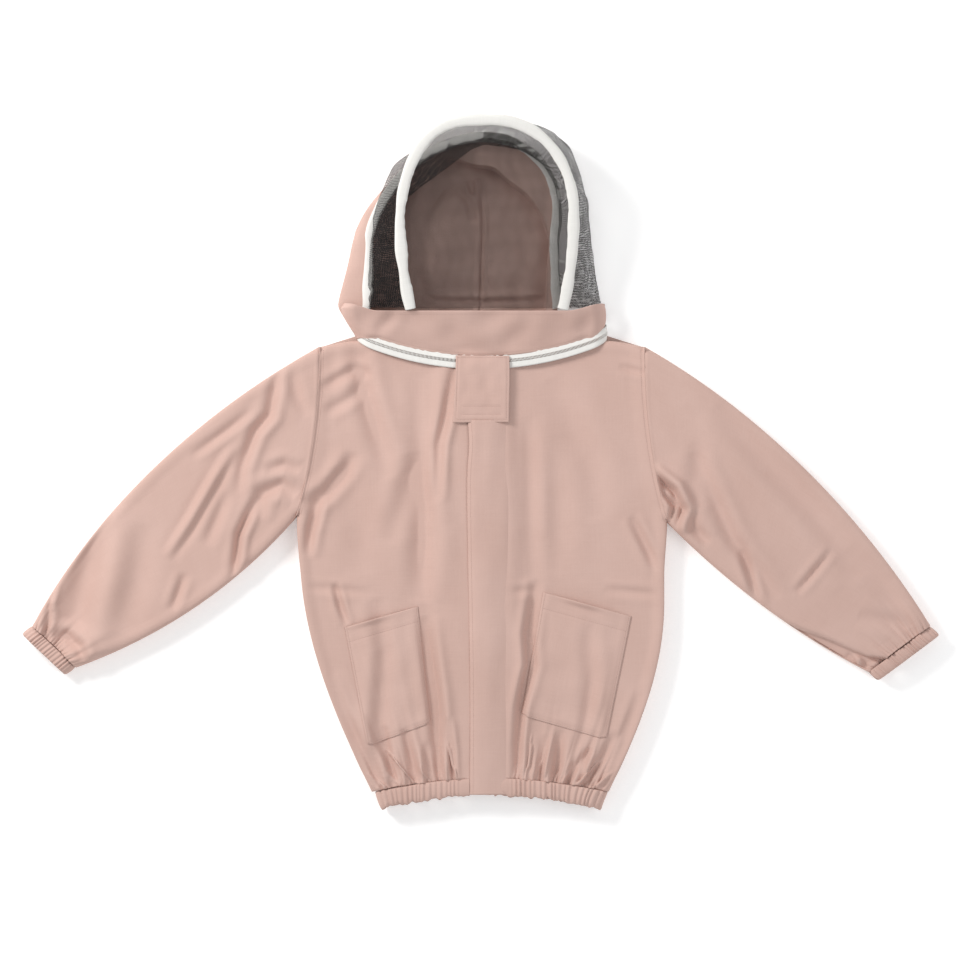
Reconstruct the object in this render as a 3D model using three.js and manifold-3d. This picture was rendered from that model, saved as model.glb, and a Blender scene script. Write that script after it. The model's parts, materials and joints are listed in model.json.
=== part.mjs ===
// A beekeeping jacket with a fencing-veil hood, laid flat on its back.
// Millimetres. +X is towards the wearer's left arm, +Y runs from the hem to the hood and
// +Z is up from the surface that the jacket lies on. Heights along the jacket are measured
// up from the corners of the hem, and the whole jacket is centred at the end.

import * as THREE from 'three';
import { mergeVertices } from 'three/addons/utils/BufferGeometryUtils.js';
import Module from 'manifold-3d';

const wasm = await Module();
wasm.setup();

// ---------------------------------------------------------------- sizes

// Cloth and how it lies
const cloth = 2;               // a sewn panel, with its turnings
const gap = 0.4;               // between pieces that are sewn or slide together
const laidHeight = 36;         // both layers of the jacket, with the air between them
const edgeRound = 24;          // how far in from a seam the cloth reaches its full height
const seamGap = 1;             // front and back layers stop this far short of the middle

// Body
const bodyHalf = 300;          // half the chest width
const bodyFull = 370;          // height at which the body is at its full width
const hemHalf = 180;           // half the gathered hem
const hemRise = 22;            // the middle of the hem stands above its corners
const hemDepth = 28;           // the casing that holds the hem elastic
const armpitHeight = 472;
const armpitOut = 5;           // the armpit stands out past the side
const shoulderHeight = 760;
const shoulderIn = 33;         // the shoulder tip lies in from the side
const armholeGap = 2;          // the sleeve's solids start this far from the body's

// Sleeves
const sleeveLength = 540;      // armhole to wrist, along the middle
const sleeveDrop = 40.3;       // degrees below the horizontal
const sleeveTopBow = [87, 29]; // how far the top edge's middle control stands out and along
const sleeveUnderBow = [46, 27];
const wristWidth = 99;
const wristDrop = 51;          // degrees, the way the cuff points
const cuffDepth = 22;

// Neck
const neckHalf = 205;          // half the zip round the neck, laid flat
const neckHeight = 736;        // the front of the neck zip
const neckRadius = 515;        // its curve across the front
const neckBackHeight = 790;    // the back of the neck zip
const bandHeight = 91;         // chin band, from the zip to the veil
const bandRise = 26;           // the veil's edge of the band stands above the zip's edge
const bandHalf = 198;

// Elastic casings
const casingWall = 1.2;
const casingChannel = 2.6;
const elasticThickness = 1.8;
const elasticMargin = 3;       // the elastic keeps clear of the casing's fold and edge
const elasticStart = 44;       // the hem is flat beside the front zip
const seamStraight = 1;        // the casing is upright this far either side of its side seam

// Zips
const teethInner = 0.8;        // half the slot that the slider's neck runs in
const teethWidth = 2.8;
const teethHeight = 3.2;
const teethDepth = 1.2;        // top of the teeth, below the cloth's face
const tapeWidth = 16;
const tapeThickness = 1;
const edgeSetback = 9;         // the cloth's edge from the middle of the zip
const stopLength = 4;
const boxLength = 10;
const boxHalf = 5;
const frontZipTop = 24;        // the front zip stops this far below the neck zip
const frontZipFoot = 2;        // and this far above the hem

// Slider and pull
const sliderLength = 12;
const sliderHalf = 5.5;
const plateThickness = 1.5;
const sliderNeck = 1;
const sliderGap = 0.3;
const bailHalf = 1.2;
const bailLength = 9;
const bailBar = 1;
const bailRoom = 2;
const pullThickness = 1.2;
const pullWidth = 7;
const pullLength = 26;
const pullWindow = [3.6, 6];
const pullEnd = 0.6;           // half the bar that turns inside the bail
const neckSliderX = 16;        // the neck sliders rest this far either side of the middle
const neckStopX = 5;
const neckTapeGap = 1.8;       // from the tape round the neck to the cloth's edge

// Placket, which covers the front zip
const placketFree = 22;        // free edge, towards the wearer's right
const placketSewn = 34;        // sewn edge, towards the wearer's left
const placketSeam = 10;        // flat part under the stitching
const tunnelHalf = 12;         // flat top of the room left for the slider
const tunnelRoom = 0.8;        // over the slider's bail
const placketFoot = 2;

// Neck flap and its touch fastener
const flapHalf = 47;
const flapLength = 107;
const flapOverlap = 12;        // the flap is sewn this far above the neck zip
const flapPlacketGap = 1;
const patchSize = [26, 22];
const patchInner = 12;         // the patches keep clear of the slider's path
const patchInset = 5;          // and of the flap's free end
const loopThickness = 1.6;

// Pockets
const pocketWidth = 148;
const pocketHeight = 205;
const pocketAt = [152, 228];
const pocketTurn = 15.5;       // degrees
const pocketBulge = 9;
const pocketCloth = 1.6;

// Hood
const foldHeight = 24;         // the hood's fold line above the band's upper face at the zip
const hoopWire = 3;
const wireRoom = 0.6;
const bindingWidth = 22;
const bindingThickness = 7;
const netThickness = 1;
const frontHoop = { x: 7, half: 136, foot: 122, leg: 125, height: 286, tilt: 14 };
const rearHoop = { x: -36, half: 146, foot: 140, leg: 110, height: 253, tilt: 2.2 };
const hoopLegShare = 0.22;     // of each hoop's run, in each straight leg
const hoopForward = 6;         // the hoops' feet stand this far past the fold line
const hoopAboveFold = 2;
const rearHoopZ = 38;          // the rear hoop's feet, above the floor
const netBulge = 26;           // the side net stands out this far halfway between the hoops
const netGap = 1;
const hoodBackForward = 9;     // the hood's back starts this far short of the fold line
const hoodSpine = 246;         // from there to the top of the seam in the hood's back
const hoodBulge = 75;          // how far the hood's back stands out past the rear hoop
const hoodCrownShare = 0.4;    // of that bulge, left at the top
const collarGap = 4;           // between the collar and the hood's back

// Colours
const clothColour = '#d6baaf';
const tapeColour = '#ece9e2';
const netColour = '#2c2523';
const metalColour = '#b9b6b0';
const elasticColour = '#e6e2da';

const clothFinish = { color: clothColour, roughness: 0.9, metalness: 0 };
const tapeFinish = { color: tapeColour, roughness: 0.8, metalness: 0 };
const teethFinish = { color: tapeColour, roughness: 0.45, metalness: 0 };
const netFinish = { color: netColour, roughness: 0.7, metalness: 0 };
const metalFinish = { color: metalColour, roughness: 0.35, metalness: 1 };
const elasticFinish = { color: elasticColour, roughness: 0.85, metalness: 0 };

// Sizes that the zip hardware fixes: heights above the cloth's outer face, and where tape starts
const bailTop = plateThickness - teethDepth + sliderGap + bailRoom + bailBar;
const coverClear = bailTop + tunnelRoom;
const tapeInner = teethInner + teethWidth + sliderGap;

// ---------------------------------------------------------------- helpers

const radians = THREE.MathUtils.degToRad;
const mix = THREE.MathUtils.lerp;
const vec = (x, y, z = 0) => new THREE.Vector3(x, y, z);
const range = (count) => Array.from({ length: count }, (_, index) => index);
const spread = (count) => range(count).map((index) => index / (count - 1));
const sides = { right: -1, left: 1 };

// A closed body from points and triangles, turned to face outwards.
function body(points, triangles) {
  let volume = 0;
  for (const [a, b, c] of triangles) {
    volume += points[a].dot(vec(0, 0, 0).crossVectors(points[b], points[c]));
  }
  const index = triangles.flatMap(([a, b, c]) => (volume < 0 ? [a, c, b] : [a, b, c]));
  const geometry = new THREE.BufferGeometry();
  const places = new Float32Array(points.flatMap((point) => point.toArray()));
  geometry.setAttribute('position', new THREE.BufferAttribute(places, 3));
  geometry.setIndex(index);
  return geometry;
}

// A sheet of cloth: a grid of points on its outer face, thickened away from `outward`.
function slab(grid, thickness, outward) {
  const rows = grid.length;
  const columns = grid[0].length;
  const at = (i, j) => grid[Math.min(Math.max(i, 0), rows - 1)][Math.min(Math.max(j, 0), columns - 1)];
  const outer = [];
  const inner = [];
  for (const i of range(rows)) {
    for (const j of range(columns)) {
      const along = at(i + 1, j).clone().sub(at(i - 1, j));
      const across = at(i, j + 1).clone().sub(at(i, j - 1));
      const normal = along.cross(across).normalize();
      if (normal.dot(outward(at(i, j))) < 0) normal.negate();
      outer.push(at(i, j).clone());
      inner.push(at(i, j).clone().addScaledVector(normal, -thickness));
    }
  }
  const points = [...outer, ...inner];
  const under = outer.length;
  const triangles = [];
  const quad = (a, b, c, d) => triangles.push([a, b, c], [a, c, d]);
  const id = (i, j) => i * columns + j;
  for (const i of range(rows - 1)) {
    for (const j of range(columns - 1)) {
      quad(id(i, j), id(i, j + 1), id(i + 1, j + 1), id(i + 1, j));
      quad(under + id(i, j), under + id(i + 1, j), under + id(i + 1, j + 1), under + id(i, j + 1));
    }
  }
  const rim = [
    ...range(columns - 1).map((j) => [id(0, j + 1), id(0, j)]),
    ...range(rows - 1).map((i) => [id(i, 0), id(i + 1, 0)]),
    ...range(columns - 1).map((j) => [id(rows - 1, j), id(rows - 1, j + 1)]),
    ...range(rows - 1).map((i) => [id(i + 1, columns - 1), id(i, columns - 1)]),
  ];
  for (const [a, b] of rim) quad(a, b, under + b, under + a);
  return body(points, triangles);
}

const loopArea = (loop) => THREE.ShapeUtils.area(loop.map(([a, b]) => new THREE.Vector2(a, b)));

// A section carried along a path. The section's first number stands out from the path's
// middle and its second runs along `axis`.
function sweep(path, axis, section, { hole = null, closed = false } = {}) {
  const count = path.length;
  const centre = path.reduce((sum, point) => sum.add(point), vec(0, 0, 0)).divideScalar(count);
  const step = (index) => (closed ? (index + count) % count : Math.min(Math.max(index, 0), count - 1));
  const normals = path.map((point, index) => {
    const tangent = path[step(index + 1)].clone().sub(path[step(index - 1)]);
    return tangent.cross(axis).normalize();
  });
  const outwards = normals.reduce((sum, normal, i) => sum + normal.dot(path[i].clone().sub(centre)), 0);
  if (outwards < 0) normals.forEach((normal) => normal.negate());
  const outer = loopArea(section) > 0 ? section : [...section].reverse();
  const inner = hole && (loopArea(hole) < 0 ? hole : [...hole].reverse());
  const loops = inner ? [outer, inner] : [outer];
  const ring = loops.flat();
  const points = path.flatMap((point, index) =>
    ring.map(([a, b]) => point.clone().addScaledVector(normals[index], a).addScaledVector(axis, b)));
  const triangles = [];
  for (const i of range(closed ? count : count - 1)) {
    const here = i * ring.length;
    const next = ((i + 1) % count) * ring.length;
    let first = 0;
    for (const loop of loops) {
      for (const k of range(loop.length)) {
        const a = first + k;
        const b = first + ((k + 1) % loop.length);
        triangles.push([here + a, here + b, next + b], [here + a, next + b, next + a]);
      }
      first += loop.length;
    }
  }
  if (!closed) {
    const flat = loops.map((loop) => loop.map(([a, b]) => new THREE.Vector2(a, b)));
    const cap = THREE.ShapeUtils.triangulateShape(flat[0], flat.slice(1)).map((corner) =>
      (loopArea(corner.map((k) => ring[k])) > 0 ? corner : [corner[0], corner[2], corner[1]]));
    const last = (count - 1) * ring.length;
    for (const [a, b, c] of cap) {
      triangles.push([a, c, b], [last + a, last + b, last + c]);
    }
  }
  return body(points, triangles);
}

function block(x, y, z) {
  const geometry = new THREE.BoxGeometry(x[1] - x[0], y[1] - y[0], z[1] - z[0]);
  return geometry.translate((x[0] + x[1]) / 2, (y[0] + y[1]) / 2, (z[0] + z[1]) / 2);
}

const slice = (low, high, bottom, top) => [[low, bottom], [high, bottom], [high, top], [low, top]];

function roundSection(across, through, count) {
  return range(count).map((index) => {
    const angle = ((index + 0.5) * 2 * Math.PI) / count;
    return [(across / 2) * Math.cos(angle), (through / 2) * Math.sin(angle)];
  });
}

function toSolid(geometry) {
  const bare = geometry.clone();
  bare.deleteAttribute('normal');
  bare.deleteAttribute('uv');
  const merged = mergeVertices(bare);
  return new wasm.Manifold(new wasm.Mesh({
    numProp: 3,
    vertProperties: new Float32Array(merged.attributes.position.array),
    triVerts: new Uint32Array(merged.index.array),
  }));
}

function joined(first, second) {
  const mesh = toSolid(first).add(toSolid(second)).getMesh();
  const geometry = new THREE.BufferGeometry();
  geometry.setAttribute('position', new THREE.BufferAttribute(mesh.vertProperties, 3));
  geometry.setIndex(new THREE.BufferAttribute(mesh.triVerts, 1));
  return geometry;
}

function part(name, geometry, finish) {
  const mesh = new THREE.Mesh(geometry, new THREE.MeshStandardMaterial(finish));
  mesh.name = name;
  return mesh;
}

// ---------------------------------------------------------------- outline

const armpit = vec(bodyHalf + armpitOut, armpitHeight);
const shoulder = vec(bodyHalf - shoulderIn, shoulderHeight);
const armholeMiddle = armpit.clone().add(shoulder).multiplyScalar(0.5);
const sleeveWay = vec(Math.cos(radians(sleeveDrop)), -Math.sin(radians(sleeveDrop)));
const wristWay = vec(Math.cos(radians(wristDrop)), -Math.sin(radians(wristDrop)));
const wristAcross = vec(Math.sin(radians(wristDrop)), Math.cos(radians(wristDrop)));
const wrist = armholeMiddle.clone().addScaledVector(sleeveWay, sleeveLength);
const wristTop = wrist.clone().addScaledVector(wristAcross, wristWidth / 2);
const wristUnder = wrist.clone().addScaledVector(wristAcross, -wristWidth / 2);

const hemLine = (x) => hemRise * (1 - (Math.abs(x) / hemHalf) ** 2);

function sideOut(height) {
  if (height >= bodyFull) {
    return bodyHalf + (armpitOut * (height - bodyFull)) / (armpitHeight - bodyFull);
  }
  return hemHalf + (bodyHalf - hemHalf) * Math.sin((height / bodyFull) * (Math.PI / 2));
}

// The middle line of the zip across the front of the neck
const neckCurveCentre = neckHeight + neckRadius;
const neckLine = (x) => neckCurveCentre - Math.sqrt(neckRadius ** 2 - x ** 2);
const neckSide = vec(neckHalf, neckLine(neckHalf));

function bowed(from, to, [out, along], turn) {
  const way = to.clone().sub(from).normalize();
  const normal = vec(-way.y * turn, way.x * turn);
  const control = from.clone().add(to).multiplyScalar(0.5);
  control.addScaledVector(normal, out).addScaledVector(way, along);
  return new THREE.QuadraticBezierCurve3(from, control, to);
}

const sleeveTop = bowed(shoulder, wristTop, sleeveTopBow, 1);
const sleeveUnder = bowed(armpit, wristUnder, sleeveUnderBow, -1);

const sideSteps = 14;
const curveSteps = 14;
const closedSeams = [
  [...spread(sideSteps).map((t) => vec(sideOut(t * armpitHeight), t * armpitHeight)),
    ...sleeveUnder.getPoints(curveSteps)],
  [neckSide, ...sleeveTop.getPoints(curveSteps)],
];

function seamDistance(point) {
  const flat = vec(Math.abs(point.x), point.y);
  let nearest = Infinity;
  for (const line of closedSeams) {
    for (const index of range(line.length - 1)) {
      const close = new THREE.Line3(line[index], line[index + 1]).closestPointToPoint(flat, true, vec(0, 0));
      nearest = Math.min(nearest, close.distanceTo(flat));
    }
  }
  return nearest;
}

// How far the cloth stands from the middle of the jacket's thickness, from its distance to
// the nearest seam: a quarter round at the seam and flat further in.
function rise(distance) {
  const t = Math.min(distance / edgeRound, 1);
  return Math.max(seamGap, (laidHeight / 2) * Math.sqrt(1 - (1 - t) ** 2));
}

const layerHeight = (distance, layer) => laidHeight / 2 + layer * rise(distance);

function laid(point, layer) {
  return vec(point.x, point.y, layerHeight(seamDistance(point), layer));
}

// ---------------------------------------------------------------- body panels

const acrossSteps = [0, 0.3, 0.55, 0.75, 0.87, 0.92, 0.955, 0.98, 0.995, 1];
const armpitStep = 9;          // number of rows from the hem to the armpit
const armholeSteps = [0.02, 0.06, 0.25, 0.5, 0.75, 0.9, 0.97, 1];

// The outer edge of a body panel: the side seam, then the armhole up to the shoulder tip.
function panelEdge(start) {
  const side = spread(armpitStep).map((t) => {
    const height = mix(start, armpitHeight, t);
    return vec(sideOut(height), height);
  });
  return [...side, ...armholeSteps.map((t) => armpit.clone().lerp(shoulder, t))];
}

function panelGrid(inner, topLine, layer, side) {
  const start = hemDepth + gap;
  const edge = panelEdge(start);
  const bottomY = (x) => hemLine(x) + start;
  return edge.map((outerPoint) => acrossSteps.map((u) => {
    const v = (outerPoint.y - start) / (shoulder.y - start);
    const bottom = vec(mix(inner, edge[0].x, u), 0);
    bottom.y = bottomY(Math.min(bottom.x, hemHalf));
    const top = vec(mix(inner, shoulder.x, u), 0);
    top.y = topLine(top.x);
    const innerEdge = vec(inner, mix(bottomY(inner), topLine(inner), v));
    const corner = vec(0, 0);
    corner.x = mix(mix(inner, edge[0].x, u), mix(inner, shoulder.x, u), v);
    corner.y = mix(mix(bottomY(inner), edge[0].y, u), mix(topLine(inner), shoulder.y, u), v);
    const place = vec(0, 0);
    place.x = mix(innerEdge.x, outerPoint.x, u) + mix(bottom.x, top.x, v) - corner.x;
    place.y = mix(innerEdge.y, outerPoint.y, u) + mix(bottom.y, top.y, v) - corner.y;
    const point = laid(place, layer);
    point.x *= side;
    return point;
  }));
}

// The front panel's upper edge: below the neck zip, then the shoulder seam.
function frontTop(x) {
  const low = neckHalf - edgeSetback;
  if (x <= low) return neckLine(x) - edgeSetback;
  return mix(neckLine(low) - edgeSetback, shoulder.y, (x - low) / (shoulder.x - low));
}

// The back panel's upper edge: below the zip behind the neck, then the shoulder seam.
function backTop(x) {
  const low = neckHalf - edgeSetback;
  const start = neckBackHeight - edgeSetback;
  return x <= low ? start : mix(start, shoulder.y, (x - low) / (shoulder.x - low));
}

const upwards = (layer) => () => vec(0, 0, layer);

// Outward for a layer that rounds over at its seams: away from the jacket's mid height.
function roundOut(layer) {
  return (point) => vec(0.2 * Math.sign(point.x), 0, layer);
}

function frontPanel(side) {
  return slab(panelGrid(edgeSetback, frontTop, 1, side), cloth, roundOut(1));
}

function backPanel() {
  const left = panelGrid(0, backTop, -1, 1);
  const right = panelGrid(0, backTop, -1, -1);
  const rows = left.map((row, index) => [...right[index].slice(1).reverse(), ...row]);
  return slab(rows, cloth, roundOut(-1));
}

// ---------------------------------------------------------------- sleeves

const sleeveAcross = [0, 0.006, 0.025, 0.07, 0.14, 0.35, 0.65, 0.86, 0.93, 0.975, 0.994, 1];
const sleeveAlong = [0, 0.1, 0.22, 0.36, 0.5, 0.64, 0.78, 0.9, 1];

function sleeveLayer(side, layer) {
  const shift = vec(armholeGap, 0);
  const grid = sleeveAlong.map((v) => sleeveAcross.map((u) => {
    const place = sleeveTop.getPoint(v).lerp(sleeveUnder.getPoint(v), u);
    const point = laid(place, layer);
    point.add(shift);
    point.x *= side;
    return point;
  }));
  return slab(grid, cloth, upwards(layer));
}

// ---------------------------------------------------------------- elastic casings

const casingSection = (depth) => {
  const inner = casingWall * 2 + casingChannel;
  return [
    [0, 0], [0, depth], [-casingWall, depth], [-casingWall, casingWall],
    [casingWall - inner, casingWall], [casingWall - inner, depth], [-inner, depth], [-inner, 0],
  ];
};

const elasticSection = (depth) => {
  const outer = -casingWall - (casingChannel - elasticThickness) / 2;
  return slice(outer - elasticThickness, outer, casingWall + elasticMargin, depth - elasticMargin);
};

const roundSteps = [0, 0.02, 0.1, 0.3, 0.6, 1];

// Half of a flattened ring, from the middle of the front round one side to the middle of
// the back: pairs of distance from the middle and height.
function halfRing(half, start) {
  const front = [[start, laidHeight], [mix(start, half - edgeRound, 0.5), laidHeight]];
  const over = roundSteps.map((t) => [half - edgeRound * t, laidHeight / 2 + roundHeight(t)]);
  const under = roundSteps.slice(1).map((t) => [half - edgeRound * t, laidHeight / 2 - roundHeight(t)]);
  return [...front, ...over.reverse(), ...under, [half / 2, 0]];
}

function roundHeight(t) {
  return (laidHeight / 2) * Math.sqrt(1 - (1 - t) ** 2);
}

const casingStart = tapeInner + tapeWidth + gap;

// The casing's front length, from beside the zip to the side seam.
function hemFrontPath(side) {
  const top = halfRing(hemHalf, casingStart).filter(([, z]) => z > laidHeight / 2);
  const end = [seamStraight, 0].map((up) => [hemHalf, laidHeight / 2 + gap / 2 + up]);
  return [...top, ...end].map(([x, z]) => vec(x * side, hemLine(x), z));
}

// The casing's back length, from side seam to side seam.
function hemBackPath() {
  const start = [0, seamStraight].map((down) => [hemHalf, laidHeight / 2 - gap / 2 - down]);
  const under = halfRing(hemHalf, casingStart).filter(([, z]) => z < laidHeight / 2);
  const half = [...start, ...under].map(([x, z]) => vec(x, hemLine(x), z));
  const other = [...half].reverse().map((point) => vec(-point.x, point.y, point.z));
  return [...half, vec(0, hemLine(0), 0), ...other];
}

// The ring that the elastic runs in, open at the front.
function hemPath(start) {
  const half = halfRing(hemHalf, start).map(([x, z]) => vec(x, hemLine(x), z));
  const other = [...half].reverse().map((point) => vec(-point.x, point.y, point.z));
  return [...half, vec(0, hemLine(0), 0), ...other];
}

// The ring round a wrist.
function wristPath(side) {
  const half = halfRing(wristWidth / 2, 0).slice(1, -1);
  const other = [...half].reverse().map(([across, z]) => [-across, z]);
  return [...half, ...other].map(([across, z]) => {
    const point = wrist.clone().addScaledVector(wristAcross, across);
    point.addScaledVector(wristWay, gap + cuffDepth);
    return vec((point.x + armholeGap) * side, point.y, z);
  });
}

const wristAxis = (side) => vec(-wristWay.x * side, -wristWay.y);

function cuffRing(side, section) {
  return sweep(wristPath(side), wristAxis(side), section(cuffDepth), { closed: true });
}

const alongBody = vec(0, 1);

// ---------------------------------------------------------------- zips

const tapeTop = -cloth - sliderGap;
const teethTop = -teethDepth;

const teethRows = (sign) =>
  slice(teethTop - teethHeight, teethTop, sign * teethInner, sign * (teethInner + teethWidth));

// Round the neck the tape reaches the cloth's edge, where it is sewn.
const neckTapeRows = (sign) =>
  slice(tapeTop - tapeThickness, tapeTop, sign * tapeInner, sign * (edgeSetback - neckTapeGap));

const frontZipLow = hemLine(0) + frontZipFoot;
const frontZipHigh = neckHeight - frontZipTop;
const frontTeethLow = frontZipLow + boxLength + gap;
const frontTeethHigh = frontZipHigh - stopLength - gap;
const level = (low, high) => [laidHeight + low, laidHeight + high];

function mirrored(low, high, side) {
  return side > 0 ? [low, high] : [-high, -low];
}

function frontTape(side) {
  const across = mirrored(tapeInner, tapeInner + tapeWidth, side);
  const along = [frontZipLow + boxLength + gap, frontZipHigh];
  return block(across, along, level(tapeTop - tapeThickness, tapeTop));
}

function frontTeeth(side) {
  const across = mirrored(teethInner, teethInner + teethWidth, side);
  return block(across, [frontTeethLow, frontTeethHigh], level(teethTop - teethHeight, teethTop));
}

function frontStop(side) {
  const across = mirrored(teethInner, teethInner + teethWidth, side);
  return block(across, [frontZipHigh - stopLength, frontZipHigh], level(teethTop - teethHeight, teethTop));
}

function frontBox() {
  const along = [frontZipLow, frontZipLow + boxLength];
  return block([-boxHalf, boxHalf], along, level(teethTop - teethHeight, teethTop));
}

// The zip round the neck, open at the middle of the front.
function neckPath(start) {
  const steps = 7;
  const reach = neckHalf - edgeRound;
  const front = range(steps).map((k) => {
    const x = mix(start, reach, k / steps);
    return vec(x, neckLine(x), laidHeight);
  });
  const around = [];
  const turn = [...roundSteps].reverse().map((t) => [t, 1]).concat(roundSteps.slice(1).map((t) => [t, -1]));
  for (const [t, layer] of turn) {
    const x = neckHalf - edgeRound * t;
    const z = laidHeight / 2 + layer * roundHeight(t);
    around.push(vec(x, mix(neckBackHeight, neckLine(x), z / laidHeight), z));
  }
  const half = [...front, ...around, vec(neckHalf / 2, neckBackHeight, 0)];
  const other = [...half].reverse().map((point) => vec(-point.x, point.y, point.z));
  return [...half, vec(0, neckBackHeight, 0), ...other];
}

const neckTeethStart = neckStopX + stopLength + gap;
const neckZipPart = (start, section) => sweep(neckPath(start), alongBody, section);

function neckStop(side, sign) {
  const across = mirrored(neckStopX, neckStopX + stopLength, side);
  const rows = mirrored(teethInner, teethInner + teethWidth, sign);
  return block(across, rows.map((y) => neckHeight + y), level(teethTop - teethHeight, teethTop));
}

// A slider, travelling along its own Y, with the cloth's outer face at its own Z = 0.
const plateLow = teethTop + sliderGap;
const plateTop = plateLow + plateThickness;
const pullPivot = plateTop + bailRoom / 2;

function slider() {
  const under = teethTop - teethHeight - sliderGap;
  const neck = sliderNeck / 2;
  const outline = [
    [-sliderHalf, under - plateThickness], [sliderHalf, under - plateThickness], [sliderHalf, under],
    [neck, under], [neck, plateLow], [sliderHalf, plateLow], [sliderHalf, plateTop],
    [-sliderHalf, plateTop], [-sliderHalf, plateLow], [-neck, plateLow], [-neck, under],
    [-sliderHalf, under],
  ];
  const profile = new THREE.Shape(outline.map(([x, z]) => new THREE.Vector2(x, z)));
  const plates = new THREE.ExtrudeGeometry(profile, { depth: sliderLength, bevelEnabled: false });
  plates.translate(0, 0, -sliderLength / 2).rotateX(Math.PI / 2);
  const out = bailLength / 2;
  const top = plateTop + bailRoom;
  const foot = plateTop - plateThickness / 2;
  const arch = [
    [-out, foot], [bailBar - out, foot], [bailBar - out, top], [out - bailBar, top],
    [out - bailBar, foot], [out, foot], [out, top + bailBar], [-out, top + bailBar],
  ];
  const archShape = new THREE.Shape(arch.map(([y, z]) => new THREE.Vector2(y, z)));
  const bail = new THREE.ExtrudeGeometry(archShape, { depth: 2 * bailHalf, bevelEnabled: false });
  bail.translate(0, 0, -bailHalf).rotateX(Math.PI / 2).rotateZ(Math.PI / 2);
  return joined(plates, bail);
}

function pull() {
  const half = pullWidth / 2;
  const corner = half / 2;
  const outline = new THREE.Shape();
  outline.moveTo(-half, pullEnd);
  outline.lineTo(-half, corner - pullLength);
  outline.quadraticCurveTo(-half, -pullLength, corner - half, -pullLength);
  outline.lineTo(half - corner, -pullLength);
  outline.quadraticCurveTo(half, -pullLength, half, corner - pullLength);
  outline.lineTo(half, pullEnd);
  outline.closePath();
  const [wide, long] = pullWindow;
  const opening = new THREE.Path();
  opening.moveTo(-wide / 2, -pullEnd);
  opening.lineTo(wide / 2, -pullEnd);
  opening.lineTo(wide / 2, -pullEnd - long);
  opening.lineTo(-wide / 2, -pullEnd - long);
  opening.closePath();
  outline.holes.push(opening);
  const plate = { depth: pullThickness, bevelEnabled: false, curveSegments: 4 };
  const tab = new THREE.ExtrudeGeometry(outline, plate);
  return tab.translate(0, 0, pullPivot - pullThickness / 2);
}

const frontSliderHeight = frontZipHigh - stopLength - gap - sliderLength / 2;

function frontSliderParts() {
  const group = new THREE.Group();
  group.position.set(0, frontSliderHeight, laidHeight);
  group.add(part('front_zip_slider', slider(), metalFinish));
  group.add(part('front_zip_pull', pull(), metalFinish));
  return group;
}

// The neck sliders sit on the curve of the neck, with their pulls pointing outwards.
function neckSliderParts(name) {
  const side = sides[name];
  const swing = new THREE.Group();
  swing.position.set(0, neckCurveCentre, laidHeight);
  swing.rotation.z = side * Math.asin(neckSliderX / neckRadius);
  const seat = new THREE.Group();
  seat.position.set(0, -neckRadius, 0);
  seat.rotation.z = side * (Math.PI / 2);
  seat.add(part(`neck_zip_slider_${name}`, slider(), metalFinish));
  seat.add(part(`neck_zip_pull_${name}`, pull(), metalFinish));
  swing.add(seat);
  return swing;
}

// ---------------------------------------------------------------- placket, flap, pockets

const flapTop = neckHeight + flapOverlap;
const flapFoot = flapTop - flapLength;

// The placket arches over the zip so that the slider can pass under it.
function placket() {
  const low = gap;
  const high = coverClear;
  const under = [
    [-placketFree, low], [-tunnelHalf, high], [tunnelHalf, high],
    [placketSewn - placketSeam, low], [placketSewn, low],
  ];
  const over = under.map(([x, z]) => [x, z + cloth]).reverse();
  const shape = new THREE.Shape([...under, ...over].map(([x, z]) => new THREE.Vector2(x, z)));
  const foot = hemLine(placketSewn) + placketFoot;
  const length = flapFoot - flapPlacketGap - foot;
  const strip = new THREE.ExtrudeGeometry(shape, { depth: length, bevelEnabled: false });
  return strip.rotateX(Math.PI / 2).translate(0, foot + length, laidHeight);
}

function flap() {
  return block([-flapHalf, flapHalf], [flapFoot, flapTop], level(coverClear, coverClear + cloth));
}

function patch(side, low, high) {
  const [wide, tall] = patchSize;
  const foot = flapFoot + patchInset;
  return block(mirrored(patchInner, patchInner + wide, side), [foot, foot + tall], level(low, high));
}

const loopPatch = (side) => patch(side, gap, gap + loopThickness);
const hookPatch = (side) => patch(side, 2 * gap + loopThickness, coverClear - gap);

// A patch pocket, sewn down on three edges and standing open along its mouth.
function pocket(side) {
  const across = [-1, -0.75, -0.4, 0, 0.4, 0.75, 1];
  const up = [0, 0.2, 0.45, 0.7, 0.85, 1];
  const angle = -side * radians(pocketTurn);
  const grid = up.map((t) => across.map((s) => {
    const x = (s * pocketWidth) / 2;
    const y = (t - 0.5) * pocketHeight;
    const bulge = pocketBulge * (1 - s ** 2) * Math.sin(t * (Math.PI / 2));
    return vec(
      side * pocketAt[0] + x * Math.cos(angle) - y * Math.sin(angle),
      pocketAt[1] + x * Math.sin(angle) + y * Math.cos(angle),
      laidHeight + gap + pocketCloth + bulge,
    );
  }));
  return slab(grid, pocketCloth, upwards(1));
}

// ---------------------------------------------------------------- hood

const foldLine = vec(0, neckHeight + bandHeight, laidHeight + foldHeight);

// Steps out from the middle to a rounded edge, mirrored to run from edge to edge
const bothWays = (steps) => [...[...steps].reverse().map((step) => -step), 0, ...steps];
const bandAcross = bothWays([0.35, 0.7, 0.86, 0.93, 0.98, 0.995, 1]);
const collarAcross = bothWays([0.6, 0.87, 0.93, 0.98, 1]);
const bandRows = 6;
const collarRows = 3;

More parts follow.
